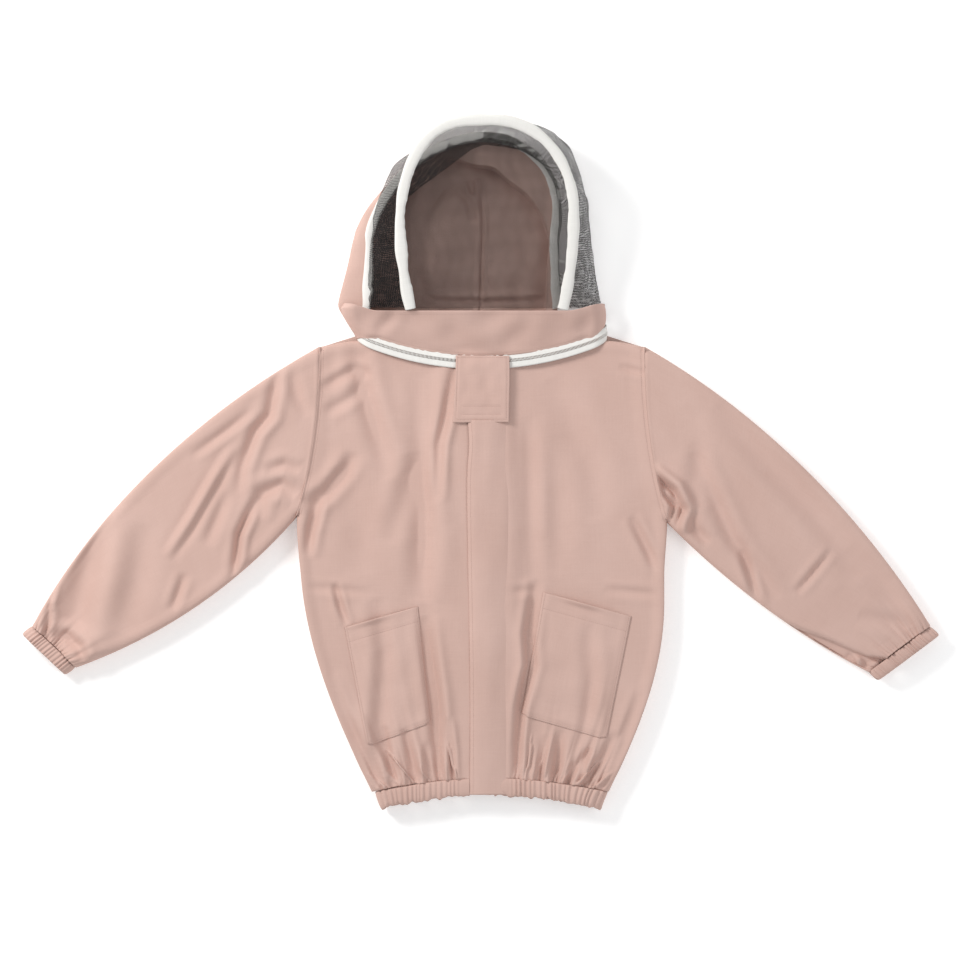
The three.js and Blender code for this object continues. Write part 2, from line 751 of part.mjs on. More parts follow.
// The band under the veil, from the neck zip up to the hood's fold line.
function chinBand() {
  const grid = spread(bandRows).map((t) => bandAcross.map((s) => {
    const x = s * bandHalf;
    const low = neckLine(x) + edgeSetback;
    const top = laidHeight + bandRise * t;
    const middle = laidHeight / 2;
    const inset = Math.min(((1 - Math.abs(s)) * bandHalf) / edgeRound, 1);
    const round = Math.sqrt(1 - (1 - inset) ** 2);
    const z = middle + seamGap * 2 + (top - middle - seamGap * 2) * round;
    return vec(x, mix(low, foldLine.y - gap, t), z);
  }));
  return slab(grid, cloth, roundOut(1));
}

// The hood's lower edge behind the neck, between the zip and the fold.
function collarBack() {
  const low = neckBackHeight + edgeSetback;
  const high = foldLine.y - hoodBackForward - collarGap;
  const grid = spread(collarRows).map((t) => collarAcross.map((s) => {
    const x = s * bandHalf;
    const z = layerHeight((1 - Math.abs(s)) * bandHalf, -1) - seamGap * (Math.abs(s) === 1 ? 1 : 0);
    return vec(x, mix(low, high, t), z);
  }));
  return slab(grid, cloth, roundOut(-1));
}

// A hoop: two legs that draw in towards their feet, and half an ellipse over them.
// `out` moves the line outwards in the hoop's own plane.
function hoopPoint(hoop, t, out = 0) {
  const mirror = t < 0.5 ? 1 : -1;
  const s = t < 0.5 ? t : 1 - t;
  const point = vec(0, 0);
  if (s < hoopLegShare) {
    const k = s / hoopLegShare;
    point.set(hoop.half - (hoop.half - hoop.foot) * (1 - k) ** 2 + out, hoop.leg * k, 0);
  } else {
    const angle = ((s - hoopLegShare) / (0.5 - hoopLegShare)) * (Math.PI / 2);
    point.x = (hoop.half + out) * Math.cos(angle);
    point.y = hoop.leg + (hoop.height - hoop.leg + out) * Math.sin(angle);
  }
  return vec(point.x * mirror, point.y);
}

function hoopFrame(hoop, z) {
  const tilt = radians(hoop.tilt);
  const origin = vec(hoop.x, foldLine.y + hoopForward, z);
  const up = vec(0, Math.cos(tilt), Math.sin(tilt));
  const normal = vec(0, -Math.sin(tilt), Math.cos(tilt));
  const place = (flat, lift = 0) =>
    origin.clone().add(vec(flat.x, 0)).addScaledVector(up, flat.y).addScaledVector(normal, lift);
  return { place, normal };
}

const frontFrame = hoopFrame(frontHoop, foldLine.z + hoopAboveFold);
const rearFrame = hoopFrame(rearHoop, rearHoopZ);
const legSteps = [0, 0.11, 0.2, 0.24, 0.28, 0.32, 0.36, 0.4, 0.45];
const hoopSteps = [...legSteps, 0.5, ...[...legSteps].reverse().map((step) => 1 - step)];

function binding(hoop, frame) {
  const path = hoopSteps.map((t) => frame.place(hoopPoint(hoop, t)));
  const bore = hoopWire + 2 * wireRoom;
  const skin = roundSection(bindingWidth, bindingThickness, 8);
  return sweep(path, frame.normal, skin, { hole: roundSection(bore, bore, 8) });
}

function wire(hoop, frame) {
  const path = hoopSteps.map((t) => frame.place(hoopPoint(hoop, t)));
  return sweep(path, frame.normal, roundSection(hoopWire, hoopWire, 8));
}

const faceNetRows = [0, 0.07, 0.14, 0.2, 0.26, 0.31, 0.36, 0.41, 0.45, 0.475];
const faceNetColumns = 7;
const sideNetColumns = 6;

// The veil in front of the face, inside the front hoop.
function faceNet() {
  const inset = bindingWidth / 2 + netGap;
  const grid = faceNetRows.map((t) => spread(faceNetColumns).map((s) => {
    const edge = hoopPoint(frontHoop, t, -inset);
    return frontFrame.place(vec(edge.x * (2 * s - 1), edge.y), netThickness / 2);
  }));
  return slab(grid, netThickness, upwards(1));
}

// The veil over the crown and the sides, from the front hoop back to the rear one.
function sideNet() {
  const front = bindingWidth / 2 + netGap;
  const clear = bindingThickness / 2 + netThickness + netGap;
  const grid = hoopSteps.map((t) => {
    const from = frontFrame.place(hoopPoint(frontHoop, t, front));
    const to = rearFrame.place(hoopPoint(rearHoop, t), clear);
    const out = rearFrame.place(hoopPoint(rearHoop, t, 1)).sub(rearFrame.place(hoopPoint(rearHoop, t)));
    return spread(sideNetColumns).map((w) =>
      from.clone().lerp(to, w).addScaledVector(out, netBulge * Math.sin(Math.PI * w)));
  });
  const middle = rearFrame.place(vec(0, rearHoop.leg));
  return slab(grid, netThickness, (point) => vec(point.x - middle.x, point.y - middle.y, 0));
}

const hoodBackRows = [0, 0.09, 0.18, 0.24, 0.3, 0.36, 0.42, 0.47, 0.496];
const hoodBackAcross = [0, 0.12, 0.25, 0.38, 0.5, 0.65, 0.82, 1];
const hoodEdgeDrop = 0.7;      // of the rear hoop's height, kept where the hood's back turns down

// One half of the hood's back: from the rear hoop out, down and in to the middle seam.
function hoodBack(side) {
  const out = bindingWidth / 2 + netGap + cloth;
  const grid = hoodBackRows.map((share) => {
    const t = side > 0 ? share : 1 - share;
    const edge = rearFrame.place(hoopPoint(rearHoop, t, out));
    const bulge = hoodBulge * mix(1, hoodCrownShare, 2 * share);
    const beyond = rearFrame.place(hoopPoint(rearHoop, t, out + bulge));
    const spine = foldLine.y - hoodBackForward + hoodSpine * Math.sin(Math.PI * share);
    const start = foldLine.y - hoodBackForward;
    const foot = share === 0 ? start : Math.max(start, edge.y);
    const curve = new THREE.CubicBezierCurve3(
      vec(edge.x, foot, edge.z),
      vec(beyond.x, Math.max(start, beyond.y), edge.z * hoodEdgeDrop),
      vec(beyond.x, Math.max(start, beyond.y), 0),
      vec(side * gap, spine, 0),
    );
    return hoodBackAcross.map((s) => curve.getPoint(s));
  });
  const centre = rearFrame.place(vec(0, rearHoop.leg), rearHoopZ / 2);
  return slab(grid, cloth, (point) => vec(point.x - centre.x, point.y - centre.y, 4 * (point.z - centre.z)));
}

// ---------------------------------------------------------------- the jacket

const jacket = new THREE.Group();

jacket.add(part('back_panel', backPanel(), clothFinish));
jacket.add(part('hem_casing_back', sweep(hemBackPath(), alongBody, casingSection(hemDepth)), clothFinish));
jacket.add(part('hem_elastic', sweep(hemPath(elasticStart), alongBody, elasticSection(hemDepth)),
  elasticFinish));
jacket.add(part('front_zip_bottom_box', frontBox(), teethFinish));
jacket.add(part('placket', placket(), clothFinish));
jacket.add(part('neck_flap', flap(), clothFinish));
jacket.add(part('chin_band', chinBand(), clothFinish));
jacket.add(part('collar_back', collarBack(), clothFinish));
jacket.add(part('neck_zip_tape_lower', neckZipPart(neckStopX, neckTapeRows(-1)), tapeFinish));
jacket.add(part('neck_zip_tape_upper', neckZipPart(neckStopX, neckTapeRows(1)), tapeFinish));
jacket.add(part('neck_zip_teeth_lower', neckZipPart(neckTeethStart, teethRows(-1)), teethFinish));
jacket.add(part('neck_zip_teeth_upper', neckZipPart(neckTeethStart, teethRows(1)), teethFinish));
jacket.add(frontSliderParts());

for (const [name, side] of Object.entries(sides)) {
  jacket.add(part(`front_panel_${name}`, frontPanel(side), clothFinish));
  jacket.add(part(`hem_casing_${name}`, sweep(hemFrontPath(side), alongBody, casingSection(hemDepth)),
    clothFinish));
  jacket.add(part(`pocket_${name}`, pocket(side), clothFinish));
  jacket.add(part(`front_zip_tape_${name}`, frontTape(side), tapeFinish));
  jacket.add(part(`front_zip_teeth_${name}`, frontTeeth(side), teethFinish));
  jacket.add(part(`front_zip_stop_${name}`, frontStop(side), teethFinish));
  jacket.add(part(`neck_zip_stop_${name}`, neckStop(side, side), teethFinish));
  jacket.add(part(`loop_patch_${name}`, loopPatch(side), tapeFinish));
  jacket.add(part(`hook_patch_${name}`, hookPatch(side), tapeFinish));
  jacket.add(part(`sleeve_upper_${name}`, sleeveLayer(side, 1), clothFinish));
  jacket.add(part(`sleeve_under_${name}`, sleeveLayer(side, -1), clothFinish));
  jacket.add(part(`cuff_casing_${name}`, cuffRing(side, casingSection), clothFinish));
  jacket.add(part(`cuff_elastic_${name}`, cuffRing(side, elasticSection), elasticFinish));
  jacket.add(part(`hood_back_${name}`, hoodBack(side), clothFinish));
  jacket.add(neckSliderParts(name));
}

jacket.add(part('front_hoop_binding', binding(frontHoop, frontFrame), tapeFinish));
jacket.add(part('front_hoop_wire', wire(frontHoop, frontFrame), metalFinish));
jacket.add(part('rear_hoop_binding', binding(rearHoop, rearFrame), tapeFinish));
jacket.add(part('rear_hoop_wire', wire(rearHoop, rearFrame), metalFinish));
jacket.add(part('face_net', faceNet(), netFinish));
jacket.add(part('side_net', sideNet(), netFinish));

// The origin is under the middle of the jacket as it lies.
const extent = new THREE.Box3().setFromObject(jacket);
const middle = extent.getCenter(vec(0, 0));
jacket.position.set(-middle.x, -middle.y, -extent.min.z);

export default jacket;
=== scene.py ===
# A beekeeping jacket with a fencing-veil hood, laid flat on its back: its cloth, veil, zips
# and stitching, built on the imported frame. Metres, +X to the wearer's left, +Y to the hood.

import json
import math

import bmesh
import bpy
import numpy as np
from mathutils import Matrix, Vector
from mathutils.bvhtree import BVHTree

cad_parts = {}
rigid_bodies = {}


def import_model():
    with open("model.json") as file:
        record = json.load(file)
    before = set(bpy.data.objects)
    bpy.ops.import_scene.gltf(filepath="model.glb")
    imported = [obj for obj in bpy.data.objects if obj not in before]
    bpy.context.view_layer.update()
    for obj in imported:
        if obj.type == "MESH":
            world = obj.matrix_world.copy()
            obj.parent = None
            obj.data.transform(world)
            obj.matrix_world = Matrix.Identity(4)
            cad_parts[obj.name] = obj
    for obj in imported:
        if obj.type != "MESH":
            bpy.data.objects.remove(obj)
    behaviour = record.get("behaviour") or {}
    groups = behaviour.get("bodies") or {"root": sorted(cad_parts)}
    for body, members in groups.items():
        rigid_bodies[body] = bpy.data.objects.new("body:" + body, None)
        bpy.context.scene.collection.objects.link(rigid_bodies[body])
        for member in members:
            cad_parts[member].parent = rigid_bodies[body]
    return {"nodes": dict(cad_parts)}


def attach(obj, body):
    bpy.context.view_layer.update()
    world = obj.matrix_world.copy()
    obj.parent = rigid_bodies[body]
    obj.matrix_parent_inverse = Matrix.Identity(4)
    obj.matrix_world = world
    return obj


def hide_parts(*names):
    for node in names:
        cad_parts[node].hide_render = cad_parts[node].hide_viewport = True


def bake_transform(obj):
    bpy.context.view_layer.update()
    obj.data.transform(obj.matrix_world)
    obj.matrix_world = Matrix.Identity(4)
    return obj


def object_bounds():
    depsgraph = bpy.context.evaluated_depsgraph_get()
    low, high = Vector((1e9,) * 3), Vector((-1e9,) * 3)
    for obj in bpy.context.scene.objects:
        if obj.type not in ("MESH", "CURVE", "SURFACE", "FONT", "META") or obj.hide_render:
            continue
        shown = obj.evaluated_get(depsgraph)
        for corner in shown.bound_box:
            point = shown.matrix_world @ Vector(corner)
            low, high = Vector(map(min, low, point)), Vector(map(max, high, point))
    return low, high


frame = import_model()
cad_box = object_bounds()
NODES = frame["nodes"]

# ---------------------------------------------------------------- sizes

CLOTH = 0.0012                 # one layer of the cotton
TOP = 0.036                    # the front's outer face above the floor
SEAM_Z = 0.017                 # side seams above the floor
HEM_Y = round(float(cad_box[0][1]), 4)
SHOULDER_Y = 0.194
SHOULDER_X = 0.267
ARMPIT_X = 0.305
ARMPIT_Y = {1: -0.094, -1: -0.084}
HEM_HALF = {1: 0.195, -1: 0.168}
FULL_AT = {1: 0.340, -1: 0.430}  # height above the hem where the side reaches its full width
CASING = 0.028
HEM_RISE = 0.023

NECK_Y = 0.1699                # the zip round the neck, at the middle of the front
NECK_RADIUS = 0.515
FOLD_Y = 0.2609                # where the hood folds, at the top of the chin band

SLEEVE_TOP = {
    1: [(0.267, 0.198), (0.572, 0.011), (0.749, -0.284)],
    -1: [(-0.267, 0.198), (-0.602, 0.001), (-0.749, -0.284)],
}
SLEEVE_UNDER = {
    1: [(0.305, -0.094), (0.469, -0.258), (0.657, -0.350)],
    -1: [(-0.305, -0.084), (-0.461, -0.264), (-0.693, -0.341)],
}

# ---------------------------------------------------------------- helpers


def smooth(a, b, x):
    t = np.clip((np.asarray(x, float) - a) / (b - a), 0, 1)
    return t * t * (3 - 2 * t)


def bezier(points, t):
    t = np.asarray(t, float)[..., None]
    a, b, c = (np.array(p, float) for p in points)
    return (1 - t) ** 2 * a + 2 * t * (1 - t) * b + t**2 * c


def ripples(x, y, wave, seed, stretch=(1.0, 1.0), count=28):
    """A smooth random field of about unit height, its waves `wave` metres long."""
    rng = np.random.default_rng(seed)
    total = np.zeros(np.shape(x))
    for _ in range(count):
        angle = rng.uniform(0, math.pi)
        k = 2 * math.pi / wave * rng.uniform(0.55, 1.5)
        phase = rng.uniform(0, 2 * math.pi)
        total += np.cos(k * (math.cos(angle) * x / stretch[0] + math.sin(angle) * y / stretch[1]) + phase)
    return total / math.sqrt(count / 2)


def crease(x, y, path, width, depth, skew=0.0):
    """A pressed line along `path`: depth below the cloth on the line, and a low roll beside it."""
    path = np.array(path, float)
    best = np.full(np.shape(x), 1e9)
    side = np.zeros(np.shape(x))
    along = np.zeros(np.shape(x))
    total = np.sum(np.hypot(*np.diff(path, axis=0).T))
    run = 0.0
    for a, b in zip(path[:-1], path[1:]):
        d = b - a
        length = math.hypot(*d)
        t = np.clip(((x - a[0]) * d[0] + (y - a[1]) * d[1]) / length**2, 0, 1)
        dx, dy = x - a[0] - t * d[0], y - a[1] - t * d[1]
        dist = np.hypot(dx, dy)
        near = dist < best
        best = np.where(near, dist, best)
        side = np.where(near, np.sign(d[0] * dy - d[1] * dx), side)
        along = np.where(near, (run + t * length) / total, along)
        run += length
    q = best * side / width
    fade = np.sin(np.clip(along, 0, 1) * math.pi) ** 0.6
    dip = -np.exp(-(q**2))
    roll = (0.45 + skew) * np.exp(-((q - 1.7) ** 2)) + (0.45 - skew) * np.exp(-((q + 1.7) ** 2))
    return depth * fade * (dip + roll)


def resample(grid, rows, cols):
    """A Catmull-Rom surface through `grid`, read at fractional row and column numbers."""
    def axis(values, at, which):
        values = np.moveaxis(values, which, 0)
        n = len(values)
        i = np.clip(np.floor(at).astype(int), 0, n - 2)
        t = (at - i)[(...,) + (None,) * (values.ndim - 1)]
        p = [values[np.clip(i + k, 0, n - 1)] for k in (-1, 0, 1, 2)]
        out = 0.5 * (2 * p[1] + (p[2] - p[0]) * t + (2 * p[0] - 5 * p[1] + 4 * p[2] - p[3]) * t**2
                     + (3 * p[1] - p[0] - 3 * p[2] + p[3]) * t**3)
        return np.moveaxis(out, 0, which)
    return axis(axis(grid, np.asarray(rows, float), 0), np.asarray(cols, float), 1)


def settle(points, pattern, pinned, support, rounds, bend=0.25, sink=0.00012):
    """Lets a sheet relax: its threads go back to the lengths they were cut to, it sinks under
    its own weight, and it lies on `support`. Pinned points stay."""
    rows, cols, _ = points.shape
    p = points.reshape(-1, 3).copy()
    cut = pattern.reshape(-1, 2)
    index = np.arange(rows * cols).reshape(rows, cols)
    free = (~pinned).reshape(-1).astype(float)
    held = p.copy()
    batches = []
    for di, dj, share in ((0, 1, 1.0), (1, 0, 1.0), (1, 1, 0.5), (1, -1, 0.5), (0, 2, bend), (2, 0, bend)):
        a = index[: rows - di, max(0, -dj): cols - max(0, dj)]
        b = index[di:, max(0, dj): cols + min(0, dj)]
        number = np.arange(a.shape[0])[:, None] // di if di else np.arange(a.shape[1])[None, :] // dj
        number = np.broadcast_to(number, a.shape) % 2
        for colour in (0, 1):
            ia, ib = a[number == colour], b[number == colour]
            wa, wb = free[ia], free[ib]
            moving = wa + wb > 0
            ia, ib, wa, wb = ia[moving], ib[moving], wa[moving], wb[moving]
            rest = np.hypot(*(cut[ia] - cut[ib]).T)
            folding = abs(di) + abs(dj) == 2 and 0 in (di, dj)
            batches.append((ia, ib, rest, (share * wa / (wa + wb))[:, None],
                            (share * wb / (wa + wb))[:, None], folding))
    low = support.reshape(-1)
    old = p.copy()
    for _ in range(rounds):
        speed = (p - old) * 0.9
        old = p.copy()
        p += np.clip(speed, -0.002, 0.002) * free[:, None]
        p[:, 2] -= sink * free
        for ia, ib, rest, wa, wb, folding in batches:
            d = p[ib] - p[ia]
            length = np.sqrt(np.einsum("ij,ij->i", d, d)) + 1e-9
            off = (length - rest) / length
            if folding:
                off = np.minimum(off, 0)
            d *= off[:, None]
            p[ia] += wa * d
            p[ib] -= wb * d
        p[:, 2] = np.where(free > 0, np.maximum(p[:, 2], low), held[:, 2])
    return p.reshape(rows, cols, 3)


def relaxed(points, pattern, pinned, support, coarse, fine_rounds, bend=0.25):
    """Settles a coarse copy of the sheet first, and then the sheet itself."""
    rows, cols, _ = points.shape
    r, c = (rows + 1) // 2, (cols + 1) // 2
    at = np.arange(r) * 2.0, np.arange(c) * 2.0
    at = np.minimum(at[0], rows - 1), np.minimum(at[1], cols - 1)
    ri, ci = at[0].astype(int), at[1].astype(int)
    small = settle(points[np.ix_(ri, ci)], pattern[np.ix_(ri, ci)], pinned[np.ix_(ri, ci)],
                   support[np.ix_(ri, ci)], coarse, bend)
    big = resample(small, np.arange(rows) / 2.0, np.arange(cols) / 2.0)
    big[pinned] = points[pinned]
    return settle(big, pattern, pinned, support, fine_rounds, bend)


def collection_add(obj):
    bpy.context.scene.collection.objects.link(obj)
    return obj


def grid_faces(rows, cols, wrap=False):
    index = np.arange(rows * cols).reshape(rows, cols)
    if wrap:
        index = np.concatenate([index, index[:, :1]], axis=1)
    a, b = index[:-1, :-1], index[:-1, 1:]
    c, d = index[1:, 1:], index[1:, :-1]
    return np.stack([a, b, c, d], axis=-1).reshape(-1, 4)


def make_mesh(name, points, faces, uv=None, flip=False, material=None, smooth_shade=True):
    """A mesh piece from points and faces; `uv` is one pair a point, in metres of cloth."""
    points = np.asarray(points, float).reshape(-1, 3)
    faces = np.asarray(faces)
    if flip:
        faces = faces[:, ::-1]
    mesh = bpy.data.meshes.new(name)
    mesh.from_pydata(points.tolist(), [], faces.tolist())
    if uv is not None:
        layer = mesh.uv_layers.new(name="cloth")
        loops = np.zeros(len(mesh.loops), int)
        mesh.loops.foreach_get("vertex_index", loops)
        layer.data.foreach_set("uv", np.asarray(uv, np.float32).reshape(-1, 2)[loops].ravel())
    mesh.polygons.foreach_set("use_smooth", np.full(len(mesh.polygons), smooth_shade))
    if material:
        mesh.materials.append(material)
    mesh.update()
    return collection_add(bpy.data.objects.new(name, mesh))


def sheet_piece(name, grid, uv, material, thick=CLOTH, flip=False, wrap=False, inward=True):
    """Cloth through a grid of points, thickened to the inside."""
    rows, cols = grid.shape[:2]
    obj = make_mesh(name, grid, grid_faces(rows, cols, wrap), uv, flip, material)
    if thick:
        solid = obj.modifiers.new("thickness", "SOLIDIFY")
        solid.thickness = thick
        solid.offset = -1.0 if inward else 1.0
        solid.use_even_offset = False
    return obj


def shaped(obj):
    """The object with its modifiers made part of its mesh."""
    deps = bpy.context.evaluated_depsgraph_get()
    mesh = bpy.data.meshes.new_from_object(obj.evaluated_get(deps))
    obj.modifiers.clear()
    obj.data = mesh
    return obj


# ---------------------------------------------------------------- materials


def material(name):
    made = bpy.data.materials.new(name)
    made.use_nodes = True
    tree = made.node_tree
    tree.nodes.clear()
    out = tree.nodes.new("ShaderNodeOutputMaterial")
    shader = tree.nodes.new("ShaderNodeBsdfPrincipled")
    tree.links.new(shader.outputs[0], out.inputs[0])
    return made, tree, shader


def node(tree, kind, inputs=None, **settings):
    made = tree.nodes.new(kind)
    for key, value in settings.items():
        setattr(made, key, value)
    for key, value in (inputs or {}).items():
        if isinstance(value, bpy.types.NodeSocket):
            tree.links.new(value, made.inputs[key])
        else:
            made.inputs[key].default_value = value
    return made


def woven(name, colour, deep, roughness=0.85, sheen=0.25, thread=0.0007, slub=0.16, relief=0.25,
          use_uv=True, blotch=0.5):
    """Plain-woven cloth: crossing threads in relief, uneven thick threads, and soft blotches."""
    made, tree, shader = material(name)
    coords = node(tree, "ShaderNodeTexCoord")
    base = coords.outputs["UV" if use_uv else "Object"]
    weft = node(tree, "ShaderNodeMapping", {"Vector": base, "Scale": (26, 640, 26)})
    warp = node(tree, "ShaderNodeMapping", {"Vector": base, "Scale": (640, 20, 26)})
    weft_noise = node(tree, "ShaderNodeTexNoise", {"Vector": weft.outputs[0], "Scale": 1.0, "Detail": 2.0})
    warp_noise = node(tree, "ShaderNodeTexNoise", {"Vector": warp.outputs[0], "Scale": 1.0, "Detail": 2.0})
    threads = node(tree, "ShaderNodeMath", {0: weft_noise.outputs[0], 1: warp_noise.outputs[0]},
                   operation="ADD")
    thread_range = node(tree, "ShaderNodeMapRange",
                        {"Value": threads.outputs[0], 1: 0.7, 2: 1.3, 3: -slub, 4: slub})
    big = node(tree, "ShaderNodeTexNoise", {"Vector": base, "Scale": 7.0, "Detail": 3.0, "Roughness": 0.55})
    blot = node(tree, "ShaderNodeMapRange",
                {"Value": big.outputs[0], 1: 0.35, 2: 0.65, 3: -blotch * 0.5, 4: blotch * 0.5})
    mixed = node(tree, "ShaderNodeMath", {0: thread_range.outputs[0], 1: blot.outputs[0]}, operation="ADD")
    shifted = node(tree, "ShaderNodeMath", {0: mixed.outputs[0], 1: 0.5}, operation="ADD", use_clamp=True)
    mix = node(tree, "ShaderNodeMix", {"Factor": shifted.outputs[0], "A": (*deep, 1), "B": (*colour, 1)},
               data_type="RGBA")
    tree.links.new(mix.outputs["Result"], shader.inputs["Base Color"])
    grain = node(tree, "ShaderNodeMapping", {"Vector": base, "Scale": (1 / thread,) * 3})
    weave = node(tree, "ShaderNodeTexVoronoi", {"Vector": grain.outputs[0], "Scale": 1.0, "Randomness": 0.35})
    fine = node(tree, "ShaderNodeMath", {0: weave.outputs["Distance"], 1: 0.35}, operation="MULTIPLY")
    crumple = node(tree, "ShaderNodeTexNoise",
                   {"Vector": base, "Scale": 38.0, "Detail": 4.0, "Roughness": 0.6})
    crumple_up = node(tree, "ShaderNodeMath", {0: crumple.outputs[0], 1: 2.6}, operation="MULTIPLY")
    height = node(tree, "ShaderNodeMath", {0: fine.outputs[0], 1: threads.outputs[0]}, operation="ADD")
    height = node(tree, "ShaderNodeMath", {0: height.outputs[0], 1: crumple_up.outputs[0]}, operation="ADD")
    bump = node(tree, "ShaderNodeBump", {"Height": height.outputs[0], "Strength": relief, "Distance": 0.0009})
    tree.links.new(bump.outputs[0], shader.inputs["Normal"])
    rough = node(tree, "ShaderNodeMapRange",
                 {"Value": threads.outputs[0], 1: 0.6, 2: 1.4, 3: roughness - 0.06, 4: roughness + 0.06})
    tree.links.new(rough.outputs[0], shader.inputs["Roughness"])
    shader.inputs["Sheen Weight"].default_value = sheen
    shader.inputs["Sheen Roughness"].default_value = 0.6
    shader.inputs["Sheen Tint"].default_value = (*colour, 1)
    shader.inputs["Specular IOR Level"].default_value = 0.2
    return made


def metal(name, colour, roughness, scale=900.0):
    made, tree, shader = material(name)
    coords = node(tree, "ShaderNodeTexCoord")
    noise = node(tree, "ShaderNodeTexNoise",
                 {"Vector": coords.outputs["Object"], "Scale": scale, "Detail": 3.0})
    rough = node(tree, "ShaderNodeMapRange",
                 {"Value": noise.outputs[0], 3: roughness - 0.1, 4: roughness + 0.12})
    tree.links.new(rough.outputs[0], shader.inputs["Roughness"])
    tint = node(tree, "ShaderNodeMapRange", {"Value": noise.outputs[0], 3: 0.85, 4: 1.08})
    mix = node(tree, "ShaderNodeMix", {"Factor": 1.0, "A": (*colour, 1), "B": tint.outputs[0]},
               data_type="RGBA", blend_type="MULTIPLY")
    tree.links.new(mix.outputs["Result"], shader.inputs["Base Color"])
    bump = node(tree, "ShaderNodeBump", {"Height": noise.outputs[0], "Strength": 0.15, "Distance": 0.0002})
    tree.links.new(bump.outputs[0], shader.inputs["Normal"])
    shader.inputs["Metallic"].default_value = 1.0
    return made


def plastic(name, colour, roughness):
    made, tree, shader = material(name)
    coords = node(tree, "ShaderNodeTexCoord")
    noise = node(tree, "ShaderNodeTexNoise",
                 {"Vector": coords.outputs["Object"], "Scale": 400.0, "Detail": 3.0})
    tint = node(tree, "ShaderNodeMapRange", {"Value": noise.outputs[0], 3: 0.93, 4: 1.05})
    mix = node(tree, "ShaderNodeMix", {"Factor": 1.0, "A": (*colour, 1), "B": tint.outputs[0]},
               data_type="RGBA", blend_type="MULTIPLY")
    tree.links.new(mix.outputs["Result"], shader.inputs["Base Color"])
    rough = node(tree, "ShaderNodeMapRange",
                 {"Value": noise.outputs[0], 3: roughness - 0.06, 4: roughness + 0.08})
    tree.links.new(rough.outputs[0], shader.inputs["Roughness"])
    return made


COTTON = woven("blush cotton", (0.630, 0.440, 0.385), (0.560, 0.378, 0.325))
TAPE = woven("white tape", (0.86, 0.85, 0.82), (0.76, 0.75, 0.72), thread=0.0009, slub=0.25, relief=0.35,
             blotch=0.3)
NET = woven("black net", (0.022, 0.018, 0.017), (0.012, 0.010, 0.010), roughness=0.6, sheen=0.1, use_uv=False)
ELASTIC = woven("ribbed elastic", (0.78, 0.76, 0.72), (0.62, 0.60, 0.56), thread=0.0012, relief=0.5,
                use_uv=False)
TOUCH = woven("touch tape", (0.66, 0.55, 0.50), (0.50, 0.40, 0.36), thread=0.0011, relief=0.9, use_uv=False)
THREAD = woven("sewing thread", (0.60, 0.43, 0.38), (0.46, 0.32, 0.28), thread=0.0004, relief=0.4,
               use_uv=False)
ZIP_METAL = metal("enamelled zip metal", (0.78, 0.77, 0.75), 0.35)
WIRE = metal("spring wire", (0.62, 0.63, 0.64), 0.28, 1400.0)
TEETH = plastic("moulded zip teeth", (0.84, 0.83, 0.80), 0.4)

# ---------------------------------------------------------------- outline of the body


def side_half(side, y):
    """Half the laid width at height y: the gathered hem, the side seam, then the armhole."""
    y = np.asarray(y, float)
    h = np.clip(y - HEM_Y, 0, None)
    hem = HEM_HALF[side]
    seam = hem + (0.300 - hem) * np.sin(np.clip(h / FULL_AT[side], 0, 1) * math.pi / 2)
    seam += (ARMPIT_X - 0.300) * smooth(0.38, 0.475, h)
    t = np.clip((SHOULDER_Y - y) / (SHOULDER_Y - ARMPIT_Y[side]), 0, 1)
    hole = SHOULDER_X + (ARMPIT_X - SHOULDER_X) * t**2.2
    return np.where(y < ARMPIT_Y[side], seam, hole)


def neck_curve(x):
    return NECK_Y + NECK_RADIUS - np.sqrt(NECK_RADIUS**2 - np.asarray(x, float) ** 2)


def front_top(x):
    """The front's upper edge: under the neck zip, then the shoulder."""
    x = np.asarray(x, float)
    near = neck_curve(np.clip(x, -0.2, 0.2)) - (0.0092 - 0.0042 * smooth(0.166, 0.196, np.abs(x)))
    end = neck_curve(0.2) - 0.005
    t = np.clip((np.abs(x) - 0.2) / (SHOULDER_X - 0.2), 0, 1)
    return np.where(np.abs(x) <= 0.2, near, end + (SHOULDER_Y - end) * t**1.6)


def back_top(x):
    x = np.asarray(x, float)
    start = 0.215
    t = np.clip((np.abs(x) - 0.2) / (SHOULDER_X - 0.2), 0, 1)
    return start + (SHOULDER_Y - start) * t


def hem_low(x, left=-HEM_HALF[-1], right=HEM_HALF[1]):
    t = np.clip((np.asarray(x, float) - left) / (right - left), 0, 1)
    return HEM_Y + HEM_RISE * (1 - (2 * t - 1) ** 2)


def body_plan(u, v, top):
    """The body's laid shape: u from -1 to 1 across and v from 0 at the hem to 1."""
    u, v = np.asarray(u, float), np.asarray(v, float)
    y_side = HEM_Y + (SHOULDER_Y - HEM_Y) * v
    left = np.stack([-side_half(-1, y_side), y_side], -1)
    right = np.stack([side_half(1, y_side), y_side], -1)
    xb = -HEM_HALF[-1] + (HEM_HALF[1] + HEM_HALF[-1]) * (u + 1) / 2
    bottom = np.stack([xb, hem_low(xb)], -1)
    xt = SHOULDER_X * u
    upper = np.stack([xt, top(xt)], -1)
    U, V = ((u + 1) / 2)[..., None], v[..., None]
    c00, c10 = np.array([-HEM_HALF[-1], HEM_Y]), np.array([HEM_HALF[1], HEM_Y])
    c01, c11 = np.array([-SHOULDER_X, SHOULDER_Y]), np.array([SHOULDER_X, SHOULDER_Y])
    corner = (1 - U) * (1 - V) * c00 + U * (1 - V) * c10 + (1 - U) * V * c01 + U * V * c11
    return (1 - U) * left + U * right + (1 - V) * bottom + V * upper - corner


